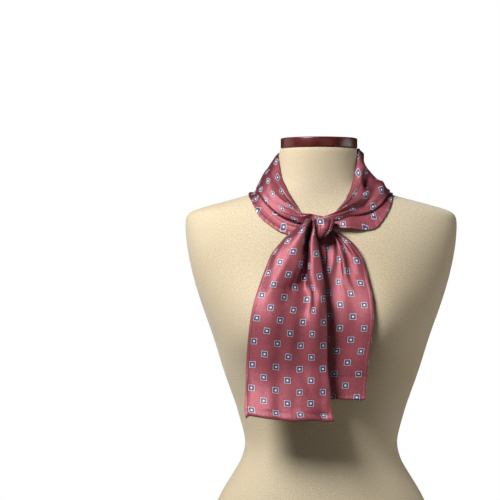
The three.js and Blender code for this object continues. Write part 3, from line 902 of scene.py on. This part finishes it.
def loop_point(turn, reach, z):
    return Vector((-reach * math.sin(turn), NECK_AXIS_Y - reach * math.cos(turn), z))


def form_reach(turn, z):
    return edge_between(20, 230, lambda reach: outside(loop_point(turn, reach, z)) < 0)


print("the neck reaches", round(form_reach(0, 640), 1), "mm forward of the loop's middle")

# %% The loop's table
loop = table(
    ["turn", "top", "fold", "hem", "tuck", "roll", "lift"],
    [
        [0, 556, 80, 86, 1, 4, 0.5],
        [10, 557, 81, 87, 1.5, 4, 2.5],
        [20, 562, 87, 93, 3, 5, 5],
        [30, 579, 91, 101.5, 6, 5.5, 3],
        [44, 602, 98.5, 111, 10, 5.5, 1],
        [56, 618, 102, 117.5, 12, 5.5, 0],
        [68, 639, 101, 115, 12, 3.5, 0],
        [80, 652, 97, 109.5, 12, 2, 0],
        [92, 657, 95, 105.5, 12, 2.5, 0],
        [120, 661, 92, 101, 12, 5, 0],
        [150, 662, 87, 94, 12, 4.5, 0],
        [180, 662, 81, 87, 10, 4, 0],
        [210, 663, 87, 94, 12, 3, 0],
        [240, 664, 93, 101, 12, -1, 0],
        [270, 664, 99, 105.5, 12, -7, 0],
        [290, 661, 104.5, 111, 12, -6, 0],
        [303, 642, 105.5, 116.5, 12, 4, 0],
        [314, 621, 99.5, 114, 12, 8, 1],
        [325, 600, 91, 103.5, 10, 7, 2],
        [334, 584, 85.5, 95.5, 6, 6.5, 4],
        [342, 572, 83.5, 90.5, 3.5, 5, 6],
        [350, 560, 81, 87, 1.5, 4, 3],
        [360, 556, 80, 86, 1, 4, 0.5],
    ],
)
print("the fold stands", loop("fold", 0), "mm out at the throat and", loop("fold", 90), "mm at the side")

# %% The loop's hollows and creases
# turn, across, how wide in turn, how wide across, depth
loop_hollows = [
    (304, 0.44, 9, 0.17, 14.0),
    (298, 0.52, 8, 0.12, 5.0),
    (296, 0.80, 9, 0.13, -5.5),
    (318, 0.78, 9, 0.12, 5.5),
    (309, 0.93, 8, 0.05, 3.0),
    (283, 0.34, 8, 0.12, 3.0),
    (272, 0.13, 14, 0.08, -4.5),
    (62, 0.72, 16, 0.14, 2.0),
    (28, 0.62, 5, 0.14, 2.6),
]
# turn and across from, turn and across to, lift, width (turn counts 1.45 mm a degree, across 62 mm)
DEGREE_LONG, ACROSS_LONG = 1.45, 62.0
upper_creases = [
    (8, 0.30, 46, 0.52, 1.7, 3.0),
    (8, 0.48, 40, 0.74, -1.9, 3.2),
    (8, 0.66, 34, 0.84, 1.3, 2.4),
    (10, 0.14, 52, 0.24, -1.2, 3.0),
    (352, 0.24, 320, 0.16, 2.2, 2.6),
    (352, 0.38, 316, 0.30, -2.4, 3.0),
    (350, 0.52, 304, 0.60, 3.2, 3.6),
    (352, 0.66, 312, 0.74, -2.4, 3.0),
    (350, 0.80, 326, 0.84, 1.4, 2.4),
    (330, 0.64, 325, 0.84, -1.8, 1.8),
    (300, 0.20, 286, 0.50, 2.4, 2.8),
    (292, 0.30, 276, 0.66, -2.4, 3.4),
    (298, 0.70, 276, 0.86, 1.8, 4.0),
    (60, 0.30, 96, 0.42, -1.2, 5.0),
    (100, 0.62, 150, 0.5, 1.5, 6.0),
    (140, 0.3, 196, 0.36, -1.6, 6.0),
    (180, 0.66, 236, 0.6, 1.5, 6.0),
    (214, 0.34, 258, 0.42, -1.5, 5.0),
]


def in_mm(creases):
    return [(a0 * DEGREE_LONG, b0 * ACROSS_LONG, a1 * DEGREE_LONG, b1 * ACROSS_LONG, lift, wide)
            for a0, b0, a1, b1, lift, wide in creases]


upper_lines = in_mm(upper_creases)
print("the loop has", len(loop_hollows), "hollows and", len(upper_lines), "creases")

# %% [markdown]
# The upper layer's two long edges are folds, not cut edges, so the grid carries on past them. At
# the top it rolls over towards the neck and at the bottom it turns under, each by a few
# millimetres, which gives both edges their round look and the dark groove beneath the lower one.

# %% The upper layer
LOOP_COLUMNS = 360
TOP_ROLL, FOLD_ROLL = 1.3, 1.5
ROLL_SHARE = 0.06
upper_shares = [-0.10, -0.06, -0.03, *uneven(44, 0.4), 1.03, 1.06, 1.1]


def upper_frame(turn):
    """The upper layer's straight line at one turn: its top, its folded edge and the way out of it."""
    deg = math.degrees(turn)
    top_z = loop("top", deg)
    top = stand_off(loop_point(turn, form_reach(turn, top_z), top_z), REST + SEAM_GAP)
    plan = loop_point(turn, loop("fold", deg), 0)
    fold = stand_off(Vector((plan.x, plan.y, form_top(plan.x, plan.y))), UNDER_FOLD)
    slant = (fold - top).normalized()
    round_neck = Vector((math.cos(turn), -math.sin(turn), 0))
    return top, fold, slant, slant.cross(round_neck).normalized()


def upper_off(deg, across):
    """How far the upper layer stands off its straight line."""
    roll = loop("roll", deg) * math.sin(math.pi * across) ** 0.8
    lift = loop("lift", deg) * math.sin(math.pi * min(0.15 + 0.8 * across, 1))
    hollow = sum(h[4] * bell(deg, h[0], h[2]) * bell(across, h[1], h[3]) for h in loop_hollows)
    lines = crease_depth(upper_lines, deg * DEGREE_LONG, across * ACROSS_LONG)
    edges = smooth(0, 0.12, across) * (1 - smooth(0.88, 1, across))
    waves = rumple(across * ACROSS_LONG, deg * DEGREE_LONG, 9.0, RUMPLE_DEEP)
    return roll + lift - hollow + (lines + waves) * edges


def upper_place(turn, line, across):
    top, fold, slant, off = line
    inner = min(max(across, 0.0), 1.0)
    p = top.lerp(fold, inner) + off * upper_off(math.degrees(turn), inner)
    beyond = (inner - across) if across < 0 else (across - inner)
    if beyond == 0:
        return p
    angle = math.pi * min(beyond / ROLL_SHARE, 1.0)
    radius = TOP_ROLL if across < 0 else FOLD_ROLL
    further = max(beyond - ROLL_SHARE, 0.0) * ACROSS_LONG
    along = -slant if across < 0 else slant
    return p + along * (radius * math.sin(angle) - further) + off * (radius * (math.cos(angle) - 1))


# %% Lay a grid round the neck
def loop_piece(name, frame_at, place_at, shares, wide, flat_shift):
    """Its columns run backwards round the neck, so that its faces look outwards. The band opens like
    a lampshade, so its flat place is found as one unrolls a lampshade, into half a ring."""
    turns = [2 * math.pi * (1 - i / LOOP_COLUMNS) for i in range(LOOP_COLUMNS + 1)]
    lines = [frame_at(0.0 if i in (0, LOOP_COLUMNS) else t) for i, t in enumerate(turns)]
    points, flat = [], []
    for share in reversed(shares):
        row = [place_at(0.0 if i in (0, LOOP_COLUMNS) else t, lines[i], share) for i, t in enumerate(turns)]
        points.append(row)
    lowest = points[0]
    round_neck = [0.0]
    for a, b in zip(lowest, lowest[1:]):
        round_neck.append(round_neck[-1] + (b - a).length)
    unrolled = [math.pi * length / round_neck[-1] for length in round_neck]
    for share in reversed(shares):
        ring = round_neck[-1] / math.pi - (1 - share) * wide
        flat.append([(ring * math.sin(a) + flat_shift[0], ring * math.cos(a) + flat_shift[1])
                     for a in unrolled])
    return cloth_piece(name, points, flat)


upper_silk = loop_piece("silk_loop_upper", upper_frame, upper_place, upper_shares, ACROSS_LONG, (11.0, 6.0))
print("upper layer", len(upper_silk.data.polygons), "faces")

# %% [markdown]
# The under layer starts out of sight inside the fold. On the form's right side a narrow pleat lies
# along the fold before the layer reaches its hem, and its tight hem draws the cloth into little
# ladders.

# %% The under layer
UNDER_LONG = 27.0
UNDER_RUMPLE = 0.5
HEM_LONGER = 1.2
EASY_PUCKER, TIGHT_PUCKER = 0.35, 1.5
under_shares = uneven(34, 0.45)
UNDER_KNOTS = 7
LIFT_TURN, LIFT_WIDE, LIFT_HIGH = 337.0, 11.0, 7.0
PLEAT_PLACE, PLEAT_PROUD = 0.52, 2.0


def under_frame(turn):
    """Places from inside the fold to the hem, each at rest on the form's skin."""
    deg = math.degrees(turn)
    start = loop("fold", deg) - loop("tuck", deg)
    end = loop("hem", deg)
    places = []
    for k in range(UNDER_KNOTS):
        share = k / (UNDER_KNOTS - 1)
        plan = loop_point(turn, mix(start, end, share), 0)
        lift = LIFT_HIGH * bell(deg, LIFT_TURN, LIFT_WIDE) * mix(0.2, 1.0, share)
        places.append(stand_off(Vector((plan.x, plan.y, form_top(plan.x, plan.y))), REST + lift))
    return places


def under_place(turn, places, across):
    deg = math.degrees(turn)
    step = min(int(across * (UNDER_KNOTS - 1)), UNDER_KNOTS - 2)
    share = across * (UNDER_KNOTS - 1) - step
    before, here, there, after = (places[min(max(step + k, 0), UNDER_KNOTS - 1)] for k in (-1, 0, 1, 2))
    leave, arrive = (there - before) / 2, (after - here) / 2
    t2, t3 = share * share, share**3
    p = (2 * t3 - 3 * t2 + 1) * here + (t3 - 2 * t2 + share) * leave
    p += (3 * t2 - 2 * t3) * there + (t3 - t2) * arrive
    from_hem = (1 - across) * UNDER_LONG
    along = deg * DEGREE_LONG * HEM_LONGER
    left_side = smooth(12, 22, deg) * (1 - smooth(84, 100, deg))
    ridge_and_groove = bell(across, PLEAT_PLACE, 0.09) - 0.7 * bell(across, PLEAT_PLACE + 0.2, 0.07)
    pleat = left_side * PLEAT_PROUD * ridge_and_groove
    tight = smooth(8, 20, deg) * (1 - smooth(62, 100, deg))
    relief = hem_relief(from_hem, along) * (1 + tight)
    relief += hem_pucker(from_hem, along, 12.0, EASY_PUCKER + TIGHT_PUCKER * tight)
    relief += pleat + rumple(across * UNDER_LONG, along, 15.0, UNDER_RUMPLE) * (1 - smooth(0.8, 1, across))
    out = (p - Vector((0, NECK_AXIS_Y, p.z))).normalized()
    skin = (stand_direction(places, step)).normalized()
    return p + (skin if skin.dot(out) > 0 else out) * max(relief, -0.4)


def stand_direction(places, step):
    """The way off the skin, worked out from the slope of the layer from its fold to its hem."""
    run = places[step + 1] - places[step]
    flat_out = Vector((places[-1].x, places[-1].y - NECK_AXIS_Y, 0)).normalized()
    up = Vector((0, 0, 1))
    return (flat_out * -run.z + up * run.dot(flat_out)) if run.length > 1e-6 else up


under_silk = loop_piece("silk_loop_under", under_frame, under_place, under_shares, UNDER_LONG, (4.0, 14.0))
print("under layer", len(under_silk.data.polygons), "faces")

# %% [markdown]
# The knot is the strip passing once in front of itself, drawn tight. What shows is a curved patch,
# wide above and narrow below, whose gathers run from the band that enters at its upper right down
# to its lower tip.

# %% The knot's outline and gathers
knot_shape = table(
    ["height", "left", "right", "front", "back"],
    [
        [528, -7.5, -1.5, 103, 98],
        [530, -8, 1, 107.5, 96.5],
        [534, -8.8, 5, 112, 94.5],
        [539, -9.4, 9.5, 114.5, 92.5],
        [544, -9.8, 12.6, 115, 90.5],
        [547.5, -9.8, 13.5, 114, 86.5],
        [550.5, -10.4, 15, 112, 85],
        [555, -11.6, 17, 107, 84],
        [558, -12, 17, 101, 84],
        [559.5, -9, 13, 96, 87],
    ],
)
KNOT_LOW, KNOT_HIGH = 528.0, 559.5
KNOT_COLUMNS, KNOT_ROWS = 96, 60
KNOT_ROUND = 73.6
# gathers: where they cross the knot's top and its lower tip (share across), how proud, how wide
gathers = [
    (0.10, 0.25, -1.2, 0.04),
    (0.50, 0.46, 1.0, 0.16),
    (0.80, 0.72, -2.6, 0.035),
    (0.90, 0.80, 1.6, 0.035),
    (0.97, 0.90, -1.2, 0.025),
]
print("the knot is", KNOT_HIGH - KNOT_LOW, "mm high and has", len(gathers), "gathers")

# %% Wrap the knot
KNOT_FULLNESS = 0.8
KNOT_TWIST = 0.75
FLAT_ACROSS, FLAT_UP = 23.0, -537.0


def knot_place(turn, height):
    left, right = knot_shape("left", height), knot_shape("right", height)
    front, back = knot_shape("front", height), knot_shape("back", height)
    side = math.copysign(abs(math.cos(turn)) ** KNOT_FULLNESS, math.cos(turn))
    depth = math.copysign(abs(math.sin(turn)) ** KNOT_FULLNESS, math.sin(turn))
    share = (side + 1) / 2
    up = (height - KNOT_LOW) / (KNOT_HIGH - KNOT_LOW)
    pull = sum(lift * bell(share, mix(tip, top, up), wide + 0.03 * up) for top, tip, lift, wide in gathers)
    pull += 0.25 * noise.noise(Vector((share * 9, up * 4, 2.2)))
    x = mix(left, right, share)
    forward = (front + back) / 2 - (front - back) / 2 * depth
    if depth < 0:
        forward += pull * smooth(0, 0.5, -depth)
    return Vector((x, -forward, height))


def build_knot():
    heights = [mix(KNOT_LOW, KNOT_HIGH, share) for share in uneven(KNOT_ROWS, 0.8)]
    shares = [i / KNOT_COLUMNS for i in range(KNOT_COLUMNS + 1)]
    points = [[knot_place(2 * math.pi * (share % 1), z) for share in shares] for z in heights]
    flat = [[(FLAT_ACROSS + KNOT_ROUND * (share - KNOT_TWIST), FLAT_UP + z) for share in shares]
            for z in heights]
    return cloth_piece("silk_knot", points, flat)


knot_silk = build_knot()
silks = (upper_silk, under_silk, back_silk, front_silk, knot_silk)
print("silk faces:", {piece.name: len(piece.data.polygons) for piece in silks})

# %% [markdown]
# The three finishes share some effects. Every cloth has threads, and every surface is a little
# uneven in tone. Each such effect is a node group with its own inputs, so a material can set it to
# its own scale.

# %% Small helpers for shader nodes
def wire(tree, socket, value):
    if isinstance(value, bpy.types.NodeSocket):
        tree.links.new(value, socket)
    else:
        socket.default_value = value


def calc(tree, operation, *values):
    made = tree.nodes.new("ShaderNodeMath")
    made.operation = operation
    for socket, value in zip(made.inputs, values):
        wire(tree, socket, value)
    return made.outputs[0]


def ramp(tree, value, start, end, low=0.0, high=1.0):
    """A soft step: low before start, high after end."""
    made = tree.nodes.new("ShaderNodeMapRange")
    made.interpolation_type = "SMOOTHSTEP"
    for name, given_value in zip(("Value", "From Min", "From Max", "To Min", "To Max"),
                                 (value, start, end, low, high)):
        wire(tree, made.inputs[name], given_value)
    return made.outputs["Result"]


def blend_colour(tree, share, first, second):
    made = tree.nodes.new("ShaderNodeMix")
    made.data_type = "RGBA"
    wire(tree, made.inputs["Factor"], share)
    wire(tree, made.inputs["A"], first)
    wire(tree, made.inputs["B"], second)
    return made.outputs["Result"]


def new_group(name, inputs, outputs):
    """inputs are (name, kind, value) and outputs (name, kind). Returns the tree and its two ends."""
    tree = bpy.data.node_groups.new(name, "ShaderNodeTree")
    for label, kind, value in inputs:
        socket = tree.interface.new_socket(label, in_out="INPUT", socket_type=kind)
        if value is not None:
            socket.default_value = value
    for label, kind in outputs:
        tree.interface.new_socket(label, in_out="OUTPUT", socket_type=kind)
    return tree, tree.nodes.new("NodeGroupInput").outputs, tree.nodes.new("NodeGroupOutput")


def place_group(tree, group, **values):
    made = tree.nodes.new("ShaderNodeGroup")
    made.node_tree = group
    for label, value in values.items():
        wire(tree, made.inputs[label.replace("_", " ")], value)
    return made.outputs


# %% Threads
def threads_group():
    tree, given_in, out = new_group(
        "threads",
        [("Flat", "NodeSocketVector", None), ("Across Pitch", "NodeSocketFloat", 0.0008),
         ("Up Pitch", "NodeSocketFloat", 0.0008), ("Slant", "NodeSocketFloat", 0.0)],
        [("Height", "NodeSocketFloat")],
    )
    parts = tree.nodes.new("ShaderNodeSeparateXYZ")
    tree.links.new(given_in["Flat"], parts.inputs[0])
    leant = calc(tree, "MULTIPLY_ADD", parts.outputs["Y"], given_in["Slant"], parts.outputs["X"])
    waves = []
    for place, pitch in ((leant, "Across Pitch"), (parts.outputs["Y"], "Up Pitch")):
        threads_from_edge = calc(tree, "DIVIDE", place, given_in[pitch])
        waves.append(calc(tree, "SINE", calc(tree, "MULTIPLY", threads_from_edge, 2 * math.pi)))
    ribs, rows = waves
    both_ways = calc(tree, "MULTIPLY_ADD", ribs, 0.3, calc(tree, "MULTIPLY_ADD", rows, 0.2, 0.5))
    tree.links.new(both_ways, out.inputs["Height"])
    return tree


# %% Uneven tone
def mottle_group():
    tree, given_in, out = new_group(
        "mottle",
        [("Place", "NodeSocketVector", None), ("Scale", "NodeSocketFloat", 20.0),
         ("Detail", "NodeSocketFloat", 3.0)],
        [("Tone", "NodeSocketFloat")],
    )
    cloudy = tree.nodes.new("ShaderNodeTexNoise")
    tree.links.new(given_in["Place"], cloudy.inputs["Vector"])
    tree.links.new(given_in["Scale"], cloudy.inputs["Scale"])
    tree.links.new(given_in["Detail"], cloudy.inputs["Detail"])
    tree.links.new(ramp(tree, cloudy.outputs["Fac"], 0.3, 0.7), out.inputs["Tone"])
    return tree


# %% Uneven yarns
def slubs_group():
    """Uneven yarns: noise drawn out along the cloth and across it, as fine streaks that cross."""
    tree, given_in, out = new_group(
        "slubs",
        [("Flat", "NodeSocketVector", None), ("Fine", "NodeSocketFloat", 700.0),
         ("Long", "NodeSocketFloat", 90.0)],
        [("Tone", "NodeSocketFloat")],
    )
    parts = tree.nodes.new("ShaderNodeSeparateXYZ")
    tree.links.new(given_in["Flat"], parts.inputs[0])
    streaks = []
    for across, up in (("Fine", "Long"), ("Long", "Fine")):
        drawn = tree.nodes.new("ShaderNodeCombineXYZ")
        tree.links.new(calc(tree, "MULTIPLY", parts.outputs["X"], given_in[across]), drawn.inputs["X"])
        tree.links.new(calc(tree, "MULTIPLY", parts.outputs["Y"], given_in[up]), drawn.inputs["Y"])
        yarn = tree.nodes.new("ShaderNodeTexNoise")
        yarn.inputs["Scale"].default_value = 1.0
        yarn.inputs["Detail"].default_value = 2.0
        tree.links.new(drawn.outputs[0], yarn.inputs["Vector"])
        streaks.append(ramp(tree, yarn.outputs["Fac"], 0.3, 0.7))
    crossed = calc(tree, "MULTIPLY_ADD", streaks[0], 0.5, calc(tree, "MULTIPLY", streaks[1], 0.5))
    tree.links.new(crossed, out.inputs["Tone"])
    return tree


# %% Set up a material
def shaded(tree, colour, tone, depth):
    """The colour times a tone that runs from 1 - depth to 1 + depth."""
    made = tree.nodes.new("ShaderNodeVectorMath")
    made.operation = "SCALE"
    tree.links.new(colour, made.inputs[0])
    tree.links.new(calc(tree, "MULTIPLY_ADD", tone, 2 * depth, 1 - depth), made.inputs["Scale"])
    return made.outputs["Vector"]


THREADS = threads_group()
MOTTLE = mottle_group()
SLUBS = slubs_group()
print("groups:", ", ".join(group.name for group in (THREADS, MOTTLE, SLUBS)))


def new_material(name, roughness):
    material = bpy.data.materials.new(name)
    material.use_nodes = True
    tree = material.node_tree
    shader = tree.nodes["Principled BSDF"]
    shader.inputs["Roughness"].default_value = roughness
    return material, tree, shader


def bump_into(tree, shader, height, distance, strength):
    made = tree.nodes.new("ShaderNodeBump")
    made.inputs["Strength"].default_value = strength
    made.inputs["Distance"].default_value = distance
    tree.links.new(height, made.inputs["Height"])
    tree.links.new(made.outputs["Normal"], shader.inputs["Normal"])


# %% [markdown]
# The squares are woven into the silk in staggered rows, so they follow the flat cloth and not the
# room. A square's outline is where the larger of two distances, across and along, is constant. Two
# such lattices, half a cell apart both ways, give the staggered rows, and steps of that one
# distance give every part of a square.

# %% The woven squares
HALO_BLUR, THREAD_BLUR = 0.9, 0.3


def squares_group():
    tree, given_in, out = new_group(
        "woven squares",
        [("Flat", "NodeSocketVector", None), ("Cell", "NodeSocketFloat", 34.0),
         ("Halo", "NodeSocketFloat", 5.7), ("Frame", "NodeSocketFloat", 4.7),
         ("Field", "NodeSocketFloat", 3.85), ("Spot", "NodeSocketFloat", 1.5)],
        [("Halo Mask", "NodeSocketFloat"), ("Frame Mask", "NodeSocketFloat"),
         ("Field Mask", "NodeSocketFloat"), ("Spot Mask", "NodeSocketFloat")],
    )
    parts = tree.nodes.new("ShaderNodeSeparateXYZ")
    tree.links.new(given_in["Flat"], parts.inputs[0])
    from_middle = []
    for offset in (0.5, 0.0):
        sides = []
        for axis in ("X", "Y"):
            millimetres = calc(tree, "MULTIPLY", parts.outputs[axis], 1 / MM)
            cells = calc(tree, "DIVIDE", millimetres, given_in["Cell"])
            inside = calc(tree, "FLOORED_MODULO", calc(tree, "ADD", cells, offset), 1.0)
            sides.append(calc(tree, "ABSOLUTE", calc(tree, "SUBTRACT", inside, 0.5)))
        from_middle.append(calc(tree, "MULTIPLY", calc(tree, "MAXIMUM", *sides), given_in["Cell"]))
    away = calc(tree, "MINIMUM", *from_middle)
    for label in ("Halo", "Frame", "Field", "Spot"):
        edge = calc(tree, "SUBTRACT", given_in[label], HALO_BLUR if label == "Halo" else THREAD_BLUR)
        tree.links.new(ramp(tree, away, edge, given_in[label], 1.0, 0.0), out.inputs[label + " Mask"])
    return tree


SQUARES = squares_group()
steps = [item.name for item in SQUARES.interface.items_tree if item.in_out == "OUTPUT"]
print("a square is drawn by:", ", ".join(steps))

# %% [markdown]
# The ground is darkened where the cloth turns away from the viewer: painted shade, put in to
# deepen the folds. It is a colour that follows the camera, not a gloss or a sheen, so it slides
# with the view and a baked export is expected to lose it; setting its share to 0 takes it out.
# The squares are drawn over it from the outside in, and their pale threads shine less than the
# ground.

# %% The silk
GROUND = (0.36, 0.075, 0.106, 1)
GROUND_WORN = (0.41, 0.10, 0.136, 1)
# Painted shade: the ground's darker colour where the cloth turns from the viewer.
GROUND_PAINTED_SHADE = (0.115, 0.02, 0.031, 1)
CRIMSON = (0.22, 0.018, 0.035, 1)
IVORY = (0.60, 0.56, 0.62, 1)
NAVY = (0.04, 0.055, 0.17, 1)
WHITE = (0.85, 0.83, 0.85, 1)
GROUND_ROUGH, SQUARE_ROUGH = 0.46, 0.5
GROUND_GLINT, SQUARE_GLINT = 0.25, 0.05
# How far the cloth turns from the viewer where the painted shade starts and where it is full, and its
# share.
PAINTED_SHADE_FROM, PAINTED_SHADE_TO, PAINTED_SHADE_SHARE = 0.1, 0.6, 0.85


def silk_material():
    material, tree, shader = new_material("rose silk", GROUND_ROUGH)
    flat = tree.nodes.new("ShaderNodeUVMap")
    flat.uv_map = "cloth"
    place = tree.nodes.new("ShaderNodeTexCoord").outputs["Object"]
    masks = place_group(tree, SQUARES, Flat=flat.outputs["UV"])
    worn = place_group(tree, MOTTLE, Place=place, Scale=22.0)["Tone"]
    threads = place_group(tree, THREADS, Flat=flat.outputs["UV"],
                          Across_Pitch=0.00045, Up_Pitch=0.0009, Slant=1.0)
    turned = tree.nodes.new("ShaderNodeLayerWeight").outputs["Facing"]
    colour = blend_colour(tree, calc(tree, "MULTIPLY", worn, 0.5), GROUND, GROUND_WORN)
    # Painted shade: the ground is blended darker as the cloth turns away from the viewer.
    away = ramp(tree, turned, PAINTED_SHADE_FROM, PAINTED_SHADE_TO, 0.0, PAINTED_SHADE_SHARE)
    colour = blend_colour(tree, away, colour, GROUND_PAINTED_SHADE)
    colour = blend_colour(tree, calc(tree, "MULTIPLY", masks["Halo Mask"], 0.75), colour, CRIMSON)
    colour = blend_colour(tree, masks["Frame Mask"], colour, IVORY)
    colour = blend_colour(tree, masks["Field Mask"], colour, NAVY)
    colour = blend_colour(tree, masks["Spot Mask"], colour, WHITE)
    grain = place_group(tree, SLUBS, Flat=flat.outputs["UV"], Fine=760.0, Long=330.0)["Tone"]
    colour = shaded(tree, shaded(tree, colour, threads["Height"], 0.06), grain, 0.27)
    tree.links.new(colour, shader.inputs["Base Color"])
    raised = calc(tree, "MULTIPLY_ADD", masks["Frame Mask"], 0.5, threads["Height"])
    bump_into(tree, shader, raised, 0.00012, 0.6)
    rough = ramp(tree, masks["Frame Mask"], 0.0, 1.0, GROUND_ROUGH, SQUARE_ROUGH)
    metallic = ramp(tree, masks["Frame Mask"], 0.0, 1.0, GROUND_GLINT, SQUARE_GLINT)
    tree.links.new(rough, shader.inputs["Roughness"])
    tree.links.new(metallic, shader.inputs["Metallic"])
    shader.inputs["Specular IOR Level"].default_value = 0.8
    shader.inputs["Specular Tint"].default_value = (1.0, 0.86, 0.9, 1)
    shader.inputs["Sheen Weight"].default_value = 0.05
    shader.inputs["Sheen Roughness"].default_value = 0.3
    shader.inputs["Sheen Tint"].default_value = (1.0, 0.8, 0.85, 1)
    return material


silk = silk_material()
print(silk.name, "has", len(silk.node_tree.nodes), "nodes")

# %% [markdown]
# Jersey is matt. Its ribs are too fine to see from here one by one, but they soften the light at
# the form's edges, and the sheen does the rest. Handling leaves a cover slightly uneven in tone.

# %% The jersey
CREAM = (0.67, 0.583, 0.425, 1)
CREAM_DEEP = (0.637, 0.536, 0.373, 1)


def jersey_material():
    material, tree, shader = new_material("cream jersey", 0.9)
    flat = tree.nodes.new("ShaderNodeUVMap")
    flat.uv_map = "jersey"
    place = tree.nodes.new("ShaderNodeTexCoord").outputs["Object"]
    tone = place_group(tree, MOTTLE, Place=place, Scale=7.0)["Tone"]
    threads = place_group(tree, THREADS, Flat=flat.outputs["UV"],
                          Across_Pitch=0.0011, Up_Pitch=0.0008, Slant=0.0)
    slubs = place_group(tree, SLUBS, Flat=flat.outputs["UV"], Fine=640.0, Long=430.0)["Tone"]
    cream = blend_colour(tree, tone, CREAM, CREAM_DEEP)
    tree.links.new(shaded(tree, cream, slubs, 0.17), shader.inputs["Base Color"])
    bump_into(tree, shader, threads["Height"], 0.0002, 0.7)
    shader.inputs["Specular IOR Level"].default_value = 0.2
    shader.inputs["Sheen Weight"].default_value = 0.3
    shader.inputs["Sheen Roughness"].default_value = 0.5
    return material


jersey = jersey_material()
print(jersey.name, "has", len(jersey.node_tree.nodes), "nodes")

# %% [markdown]
# The cap is a slice across the end of a plank, so its grain runs straight over the top and shows as
# short bars on the rim. Stretched noise makes straight grain, and a clear coat makes the varnish.

# %% The varnished cap
WOOD_LIGHT = (0.13, 0.015, 0.013, 1)
WOOD_DARK = (0.055, 0.007, 0.008, 1)


def mahogany_material():
    material, tree, shader = new_material("red mahogany", 0.3)
    place = tree.nodes.new("ShaderNodeTexCoord").outputs["Object"]
    stretched = tree.nodes.new("ShaderNodeMapping")
    stretched.inputs["Scale"].default_value = (0.07, 1.0, 1.0)
    tree.links.new(place, stretched.inputs["Vector"])
    grain = place_group(tree, MOTTLE, Place=stretched.outputs["Vector"], Scale=260.0, Detail=6.0)["Tone"]
    broad = place_group(tree, MOTTLE, Place=place, Scale=30.0)["Tone"]
    streaks = calc(tree, "MULTIPLY_ADD", grain, 0.65, calc(tree, "MULTIPLY", broad, 0.35))
    tree.links.new(blend_colour(tree, streaks, WOOD_DARK, WOOD_LIGHT), shader.inputs["Base Color"])
    bump_into(tree, shader, grain, 0.0001, 0.35)
    shader.inputs["Coat Weight"].default_value = 0.2
    shader.inputs["Coat Roughness"].default_value = 0.28
    return material


mahogany = mahogany_material()
print(mahogany.name, "has", len(mahogany.node_tree.nodes), "nodes")

# %% [markdown]
# Last, each piece takes its finish, stands for its solid in the imported model, and rides on the one
# body there is. Each stretch of silk is a sheet of its own, listed with the flat size that was cut
# for it.

# %% Dress the form and its cap
form_body.data.materials.append(jersey)
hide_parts("dress_form")
turned_cap.data.materials.append(mahogany)
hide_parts("neck_cap")
for piece in (form_body, turned_cap):
    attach(piece, "root")
print("the form wears", jersey.name, "and its cap", mahogany.name)

silk_sheets = [
    (upper_silk, "loop_upper", (0.070, 0.60), "folded", ["silk_loop_under"]),
    (under_silk, "loop_under", (0.030, 0.62), "folded", ["form_body"]),
    (back_silk, "back_end", (0.124, 0.28), "gathered", ["form_body", "silk_loop_upper"]),
    (front_silk, "front_end", (0.124, 0.325), "gathered", ["silk_back_end"]),
    (knot_silk, "knot", (0.036, 0.075), "folded", ["silk_loop_upper"]),
]
for piece, node_name, flat_size, held, rests_on in silk_sheets:
    piece.data.materials.append(silk)
    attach(piece, "root")
    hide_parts(node_name)

print(len(silk_sheets), "sheets of silk")

# %% Measure the scene against the imported model
visual_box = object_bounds()
for low_cad, high_cad, low_seen, high_seen in zip(*cad_box, *visual_box):
    print("mm beyond the packed model: low", round((low_cad - low_seen) / MM, 1),
          "high", round((high_seen - high_cad) / MM, 1))
